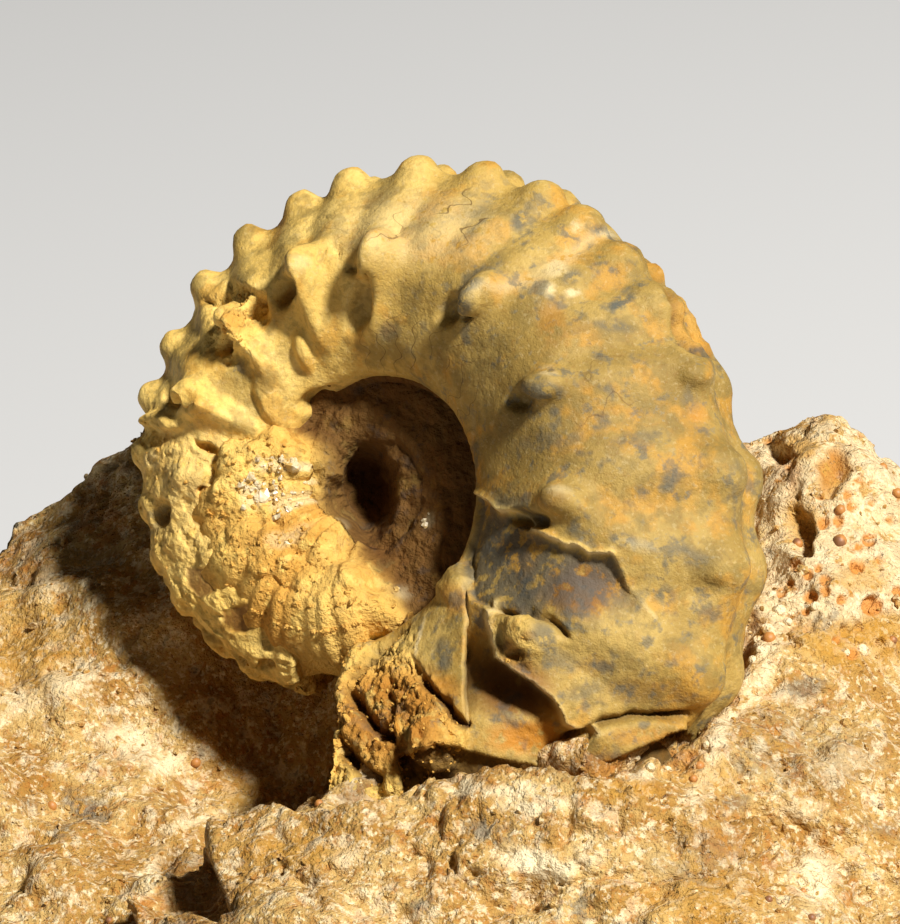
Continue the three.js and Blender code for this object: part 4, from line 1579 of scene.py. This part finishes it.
class Paint:
    """A material's node tree, with short calls to add nodes to it."""

    def __init__(self, tree: bpy.types.NodeTree) -> None:
        """Starts from an empty tree.

        Args:
            tree: The tree to fill.
        """
        self.tree = tree
        tree.nodes.clear()

    def add(self, kind: str, values: dict | None = None, **settings: object) -> bpy.types.Node:
        """Adds a node.

        Args:
            kind: The node's type.
            values: Its inputs by name or number: numbers, colours or sockets to link from.
            settings: Its properties.

        Returns:
            The node.
        """
        node = self.tree.nodes.new(kind)
        for name, value in settings.items():
            setattr(node, name, value)
        for name, value in (values or {}).items():
            if isinstance(value, bpy.types.NodeSocket):
                self.tree.links.new(value, node.inputs[name])
            else:
                node.inputs[name].default_value = value
        return node

    def bump(
        self, height: bpy.types.NodeSocket, strength: float, distance: float, under: object = None
    ) -> bpy.types.NodeSocket:
        """Turns a height into a normal.

        Args:
            height: The height.
            strength: How much of it shows, from 0 to 1.
            distance: How high it is, in millimetres.
            under: The normal of a bump that it is laid over.

        Returns:
            The normal.
        """
        values = {"Strength": strength, "Distance": distance * MM, "Height": height}
        if under is not None:
            values["Normal"] = under
        return self.add("ShaderNodeBump", values).outputs["Normal"]

    def math(self, operation: str, first: object, second: object = 0.0) -> bpy.types.NodeSocket:
        """The result of an operation on two values."""
        return self.add("ShaderNodeMath", {0: first, 1: second}, operation=operation).outputs[0]

    def mix(self, amount: object, first: object, second: object) -> bpy.types.NodeSocket:
        """A mix of two colours.

        Args:
            amount: How much of the second there is.
            first: A colour or a socket.
            second: A colour or a socket.

        Returns:
            The mixed colour.
        """
        first, second = ((*c, 1.0) if isinstance(c, tuple) else c for c in (first, second))
        node = self.add("ShaderNodeMix", {0: amount, 6: first, 7: second}, data_type="RGBA")
        return node.outputs[2]

    def mask(self, mask: Mask) -> bpy.types.NodeSocket:
        """One of the mesh's masks."""
        return self.add("ShaderNodeAttribute", attribute_name=mask.value).outputs["Fac"]

    def ramp(self, value: object, start: float, end: float) -> bpy.types.NodeSocket:
        """A smooth step from 0 at start to 1 at end."""
        values = {"Value": value, "From Min": start, "From Max": end}
        return self.add("ShaderNodeMapRange", values, interpolation_type="SMOOTHSTEP").outputs["Result"]


class StoneEffects:
    """Shader groups that both stones share."""

    def __init__(self) -> None:
        """Builds the groups once."""
        self.patches = self._patches()
        self.grain = self._grain()

    def _group(
        self, name: str, inputs: Sequence[tuple[str, str]], outputs: Sequence[str]
    ) -> tuple[Paint, dict]:
        """Starts a group.

        Args:
            name: The group's name.
            inputs: Socket names and types.
            outputs: Names of its value outputs.

        Returns:
            The group's tree, and its inputs by name.
        """
        tree = bpy.data.node_groups.new(name, "ShaderNodeTree")
        for label, kind in inputs:
            tree.interface.new_socket(label, in_out="INPUT", socket_type=kind)
        for label in outputs:
            tree.interface.new_socket(label, in_out="OUTPUT", socket_type="NodeSocketFloat")
        paint = Paint(tree)
        start = paint.add("NodeGroupInput")
        return paint, {socket.name: socket for socket in start.outputs}

    def _patches(self) -> bpy.types.NodeTree:
        """Ragged patches: noise cut at a level."""
        sockets = (("Vector", "NodeSocketVector"), ("Scale", "NodeSocketFloat"), ("Level", "NodeSocketFloat"))
        paint, given = self._group("stone_patches", sockets, ("Mask",))
        values = {"Vector": given["Vector"], "Scale": given["Scale"], "Detail": 3.6, "Roughness": 0.62}
        noise = paint.add("ShaderNodeTexNoise", values)
        above = paint.math("SUBTRACT", noise.outputs["Fac"], given["Level"])
        paint.add("NodeGroupOutput", {"Mask": paint.ramp(above, -0.05, 0.07)})
        return paint.tree

    def _grain(self) -> bpy.types.NodeTree:
        """Fine grain: a height for bump, and masks of dark and bright specks."""
        sockets = (("Vector", "NodeSocketVector"), ("Scale", "NodeSocketFloat"))
        paint, given = self._group("stone_grain", sockets, ("Height", "Dark", "Bright"))
        noise = paint.add(
            "ShaderNodeTexNoise",
            {"Vector": given["Vector"], "Scale": given["Scale"], "Detail": 3.0, "Roughness": 0.7},
        )
        cells = paint.add("ShaderNodeTexVoronoi", {"Vector": given["Vector"], "Scale": given["Scale"]})
        tone = paint.add("ShaderNodeSeparateColor", {0: cells.outputs["Color"]})
        small = paint.math("LESS_THAN", cells.outputs["Distance"], 0.32)
        dark = paint.math("MULTIPLY", small, paint.math("GREATER_THAN", tone.outputs[0], 0.84))
        bright = paint.math("MULTIPLY", small, paint.math("GREATER_THAN", tone.outputs[1], 0.88))
        pits = paint.ramp(cells.outputs["Distance"], 0.0, 0.6)
        height = paint.math("ADD", noise.outputs["Fac"], paint.math("MULTIPLY", pits, 0.25))
        paint.add("NodeGroupOutput", {"Height": height, "Dark": dark, "Bright": bright})
        return paint.tree

    def patch(self, paint: Paint, vector: object, size: float, level: float) -> bpy.types.NodeSocket:
        """Places ragged patches in a material.

        Args:
            paint: The material's tree.
            vector: Where the patches are read.
            size: The patches' size in millimetres.
            level: How rare they are, about 0.3 to 0.7.

        Returns:
            The patches' mask.
        """
        values = {"Vector": vector, "Scale": 1 / (size * MM), "Level": level}
        return paint.add("ShaderNodeGroup", values, node_tree=self.patches).outputs["Mask"]

    def tinted(
        self, paint: Paint, vector: object, colour: object, layers: Sequence[tuple]
    ) -> bpy.types.NodeSocket:
        """Lays ragged patches of other colours over a colour.

        Args:
            paint: The material's tree.
            vector: Where the patches are read.
            colour: The colour below them.
            layers: Each layer's size, level, strength and colour.

        Returns:
            The mottled colour.
        """
        for size, level, amount, tint in layers:
            shown = paint.math("MULTIPLY", self.patch(paint, vector, size, level), amount)
            colour = paint.mix(shown, colour, tint)
        return colour

    def grains(self, paint: Paint, vector: object, size: float) -> bpy.types.NodeSocket:
        """Places fine grain in a material.

        Args:
            paint: The material's tree.
            vector: Where the grain is read.
            size: The grains' size in millimetres.

        Returns:
            The grain's height.
        """
        values = {"Vector": vector, "Scale": 1 / (size * MM)}
        return paint.add("ShaderNodeGroup", values, node_tree=self.grain).outputs["Height"]


class Finish(ABC):
    """A material whose inputs are painted with the shared stone effects."""

    name: str

    @abstractmethod
    def _inputs(self, paint: Paint, effects: StoneEffects, where: object) -> dict:
        """The shader's inputs.

        Args:
            paint: The material's tree.
            effects: The shared stone effects.
            where: Object coordinates.

        Returns:
            Numbers, colours or sockets by input name.
        """

    def make(self, effects: StoneEffects) -> bpy.types.Material:
        """Builds the material.

        Args:
            effects: The shared stone effects.

        Returns:
            The material.
        """
        material = bpy.data.materials.new(self.name)
        material.use_nodes = True
        paint = Paint(material.node_tree)
        where = paint.add("ShaderNodeTexCoord").outputs["Object"]
        shader = paint.add("ShaderNodeBsdfPrincipled", self._inputs(paint, effects, where))
        paint.add("ShaderNodeOutputMaterial", {"Surface": shader.outputs["BSDF"]})
        return material


@dataclass(frozen=True)
class FossilFinish(Finish):
    """Ochre limonite: grey stains, rust, pale shell edges, faint suture lines, painted shade and highlights.
    """

    name: str = "ochre_fossil_stone"
    dull: Colour = (0.225, 0.14, 0.032)
    dull_light: Colour = (0.3, 0.19, 0.047)
    bright: Colour = (0.76, 0.49, 0.115)
    bright_light: Colour = (0.85, 0.58, 0.16)
    olive: Colour = (0.2, 0.135, 0.036)
    grey: Colour = (0.075, 0.083, 0.072)
    rust: Colour = (0.5, 0.2, 0.02)
    umber: Colour = (0.2, 0.075, 0.013)
    pale: Colour = (0.74, 0.58, 0.3)
    deep: Colour = (0.05, 0.017, 0.003)
    crumb: Colour = (0.86, 0.55, 0.13)
    amber: Colour = (0.52, 0.25, 0.03)
    gloss: float = 0.2
    grain_sizes: tuple[float, float] = (0.12, 0.3)

    def _ground(self, paint: Paint, effects: StoneEffects, where: object) -> bpy.types.NodeSocket:
        """The sound stone's mottled colour."""
        light = effects.patch(paint, where, 3.2, 0.5)
        dull = paint.mix(light, self.dull, self.dull_light)
        bright = paint.mix(light, self.bright, self.bright_light)
        colour = paint.mix(paint.mask(Mask.TONE), dull, bright)
        layers = (
            (2.1, 0.55, 0.6, self.amber),
            (1.7, 0.56, 0.55, self.olive),
            (0.5, 0.56, 0.35, self.olive),
            (0.26, 0.58, 0.16, self.umber),
            (0.2, 0.6, 0.16, self.pale),
        )
        return effects.tinted(paint, where, colour, layers)

    def _inputs(self, paint: Paint, effects: StoneEffects, where: object) -> dict:
        """The shader's inputs."""
        colour = self._ground(paint, effects, where)
        rough = paint.mask(Mask.ROUGH)
        crumbly = paint.math("MULTIPLY", rough, effects.patch(paint, where, 0.6, 0.42))
        colour = paint.mix(paint.math("MULTIPLY", crumbly, 0.6), colour, self.crumb)
        # The umber mask also carries the painted shade of the umbilicus, and the pale mask the painted
        # highlights and painted light on the whorl.
        for mask, size, level, amount, tint in (
            (Mask.RUST, 0.9, 0.4, 0.9, self.rust),
            (Mask.UMBER_AND_SHADE, 1.2, 0.36, 0.9, self.umber),
            (Mask.STAIN, 0.6, 0.44, 0.85, self.grey),
            (Mask.PALE_AND_HIGHLIGHT, 0.45, 0.38, 0.85, self.pale),
        ):
            shown = paint.math("MULTIPLY", paint.mask(mask), effects.patch(paint, where, size, level))
            colour = paint.mix(paint.math("MULTIPLY", shown, amount), colour, tint)
        sound = paint.ramp(paint.mask(Mask.TONE), 0.6, 0.3)
        for size, level in ((0.8, 0.62), (1.5, 0.61)):
            cloud = paint.math("MULTIPLY", effects.patch(paint, where, size, level), 0.6)
            colour = paint.mix(paint.math("MULTIPLY", cloud, sound), colour, self.grey)
        colour = paint.mix(self._sutures(paint, where), colour, self.deep)
        # Painted shade: darkens cracks, hollows, dents, the foot and the umbilicus towards the deep colour.
        shade = paint.mask(Mask.SHADE)
        colour = paint.mix(paint.math("MULTIPLY", shade, 0.85), colour, self.deep)
        fine, coarse = (effects.grains(paint, where, size) for size in self.grain_sizes)
        coarse = paint.math("MULTIPLY", coarse, paint.math("ADD", rough, 0.25))
        normal = paint.bump(coarse, 0.8, 0.2, paint.bump(fine, 0.45, 0.07))
        roughness = paint.math("ADD", paint.math("MULTIPLY", rough, 0.22), 0.62)
        roughness = paint.math("MAXIMUM", roughness, shade)
        values = {"Base Color": colour, "Roughness": roughness, "Normal": normal}
        return {**values, "Specular IOR Level": self.gloss}

    def _sutures(self, paint: Paint, where: object) -> bpy.types.NodeSocket:
        """A mask of thin lobed lines where the chambers' walls met the shell, seen here and there."""
        unwrapped = paint.add("ShaderNodeUVMap", uv_map="coil").outputs["UV"]
        axes = paint.add("ShaderNodeSeparateXYZ", {0: unwrapped})
        wander = paint.add("ShaderNodeTexNoise", {"Vector": where, "Scale": 900.0, "Detail": 2.0})
        lobes = paint.math("SINE", paint.math("MULTIPLY", axes.outputs["Y"], 34.0))
        folds = paint.math("SINE", paint.math("MULTIPLY", axes.outputs["Y"], 91.0))
        bend = paint.math("ADD", paint.math("MULTIPLY", lobes, 0.24), paint.math("MULTIPLY", folds, 0.13))
        along = paint.math("ADD", paint.math("MULTIPLY", axes.outputs["X"], 44.0), bend)
        along = paint.math("ADD", along, paint.math("MULTIPLY", wander.outputs["Fac"], 0.9))
        apart = paint.math("ABSOLUTE", paint.math("SUBTRACT", paint.math("FRACT", along), 0.5))
        line = paint.ramp(apart, 0.034, 0.012)
        return paint.math("MULTIPLY", paint.math("MULTIPLY", line, paint.mask(Mask.SUTURE)), 0.7)


@dataclass(frozen=True)
class LimestoneFinish(Finish):
    """Tan oolitic limestone with chalky patches, rusty ooids, grey stains and painted shade in its gaps."""

    name: str = "tan_oolitic_limestone"
    tan: Colour = (0.44, 0.24, 0.054)
    ochre: Colour = (0.35, 0.165, 0.026)
    cream: Colour = (0.57, 0.365, 0.12)
    chalk: Colour = (0.88, 0.72, 0.43)
    grey: Colour = (0.17, 0.145, 0.1)
    gold: Colour = (0.5, 0.25, 0.03)
    rust: Colour = (0.42, 0.15, 0.02)
    ooid: Colour = (0.56, 0.22, 0.035)
    deep: Colour = (0.12, 0.048, 0.012)
    roughness: float = 0.86
    gloss: float = 0.25
    grain_sizes: tuple[float, float] = (0.14, 0.42)

    def _inputs(self, paint: Paint, effects: StoneEffects, where: object) -> dict:
        """The shader's inputs."""
        colour = paint.mix(effects.patch(paint, where, 4.0, 0.48), self.tan, self.cream)
        layers = (
            (1.8, 0.52, 0.75, self.ochre),
            (0.9, 0.57, 0.6, self.chalk),
            (0.75, 0.6, 0.6, self.rust),
            (0.3, 0.57, 0.7, self.chalk),
            (0.24, 0.58, 0.5, self.rust),
            (0.5, 0.6, 0.5, self.ochre),
            (0.17, 0.61, 0.5, self.deep),
        )
        colour = effects.tinted(paint, where, colour, layers)
        for mask, size, level, scattered, amount, tint in (
            (Mask.PALE_AND_HIGHLIGHT, 0.7, 0.4, 0.62, 0.9, self.chalk),
            (Mask.TONE, 0.8, 0.3, 0.68, 0.85, self.gold),
            (Mask.RUST, 0.7, 0.44, 0.66, 0.75, self.rust),
            (Mask.STAIN, 0.6, 0.44, 0.67, 0.85, self.grey),
        ):
            shown = paint.math("MULTIPLY", paint.mask(mask), effects.patch(paint, where, size, level))
            stray = paint.math("MULTIPLY", effects.patch(paint, where, size * 1.5, scattered), 0.7)
            shown = paint.math("MULTIPLY", paint.math("MAXIMUM", shown, stray), amount)
            colour = paint.mix(shown, colour, tint)
        colour = paint.mix(paint.math("MULTIPLY", paint.mask(Mask.UMBER_AND_SHADE), 0.9), colour, self.ooid)
        # Painted shade: the shade mask darkens the gap, the side crack and the cliff towards the deep colour.
        colour = paint.mix(paint.math("MULTIPLY", paint.mask(Mask.SHADE), 0.7), colour, self.deep)
        fine, coarse = (effects.grains(paint, where, size) for size in self.grain_sizes)
        normal = paint.bump(coarse, 0.8, 0.3, paint.bump(fine, 0.7, 0.14))
        values = {"Base Color": colour, "Roughness": self.roughness, "Normal": normal}
        return {**values, "Specular IOR Level": self.gloss}


@dataclass(frozen=True)
class CalciteFinish(Finish):
    """Small glassy crystals, white to honey."""

    name: str = "calcite"
    white: Colour = (0.66, 0.54, 0.33)
    honey: Colour = (0.52, 0.33, 0.1)
    roughness: float = 0.25

    def _inputs(self, paint: Paint, effects: StoneEffects, where: object) -> dict:
        """The shader's inputs."""
        colour = paint.mix(effects.patch(paint, where, 0.5, 0.52), self.white, self.honey)
        return {"Base Color": colour, "Roughness": self.roughness}


@dataclass(frozen=True)
class OoidFinish(Finish):
    """Smooth iron-stained grains, each of its own brown."""

    name: str = "rusty_ooid"
    orange: Colour = (0.48, 0.2, 0.045)
    brown: Colour = (0.24, 0.1, 0.04)
    roughness: float = 0.5
    grain_size: float = 0.08

    def _inputs(self, paint: Paint, effects: StoneEffects, where: object) -> dict:
        """The shader's inputs."""
        colour = paint.mix(effects.patch(paint, where, 1.2, 0.5), self.orange, self.brown)
        normal = paint.bump(effects.grains(paint, where, self.grain_size), 0.3, 0.04)
        return {"Base Color": colour, "Roughness": self.roughness, "Normal": normal}


@dataclass
class Studio:
    """A pale floor, one key light from the upper right and a little fill."""

    view: PhotoView
    floor_size: float = 1.6
    floor_colour: Colour = (0.56, 0.55, 0.53)
    floor_roughness: float = 0.9
    key_from: tuple[float, float, float] = (0.42, -0.425, 0.8)
    key_distance: float = 0.6
    key_size: float = 0.08
    key_power: float = 7.0
    fill: float = 0.04
    fill_colour: Colour = (1, 0.97, 0.93)

    def build(self) -> None:
        """Sets up the floor, the lights and the camera."""
        Workbench.clear()
        bpy.ops.mesh.primitive_plane_add(size=self.floor_size)
        floor = bpy.context.object
        floor.name = "floor"
        material = bpy.data.materials.new("pale_floor")
        material.use_nodes = True
        shader = material.node_tree.nodes["Principled BSDF"]
        shader.inputs["Base Color"].default_value = (*self.floor_colour, 1)
        shader.inputs["Roughness"].default_value = self.floor_roughness
        floor.data.materials.append(material)
        target = Vector(self.view.target) * MM
        towards = Vector(self.key_from).normalized()
        bpy.ops.object.light_add(type="AREA", location=target + towards * self.key_distance)
        key = bpy.context.object
        key.name = "key_light"
        key.rotation_euler = towards.to_track_quat("Z", "Y").to_euler()
        key.data.shape = "DISK"
        key.data.size = self.key_size
        key.data.energy = self.key_power
        world = bpy.data.worlds.new("studio")
        world.use_nodes = True
        world.node_tree.nodes["Background"].inputs["Color"].default_value = (*self.fill_colour, 1)
        world.node_tree.nodes["Background"].inputs["Strength"].default_value = self.fill
        bpy.context.scene.world = world
        bpy.context.scene.view_settings.view_transform = "Standard"
        self.view.place_camera()


def main() -> None:
    logging.basicConfig(level=logging.INFO, format="%(name)s %(message)s")
    view = PhotoView()
    coil = Coil()
    section = WhorlSection()
    Studio(view).build()
    effects = StoneEffects()
    fossil = FossilFinish().make(effects)
    limestone = LimestoneFinish().make(effects)
    ooid = OoidFinish().make(effects)
    whorl = LastWhorl(coil, section, view).build()
    fill = UmbilicalFill(coil, view).build()
    block = MatrixBlock(view).build()
    grains = Grains(view).build(whorl, fill, block)
    calcite = CalciteFinish().make(effects)
    finishes = (fossil, fossil, limestone, fossil, fossil, calcite, limestone, ooid, limestone)
    for piece, finish in zip((whorl, fill, block, *grains), finishes):
        piece.data.materials.append(finish)


if __name__ == "__main__":
    main()
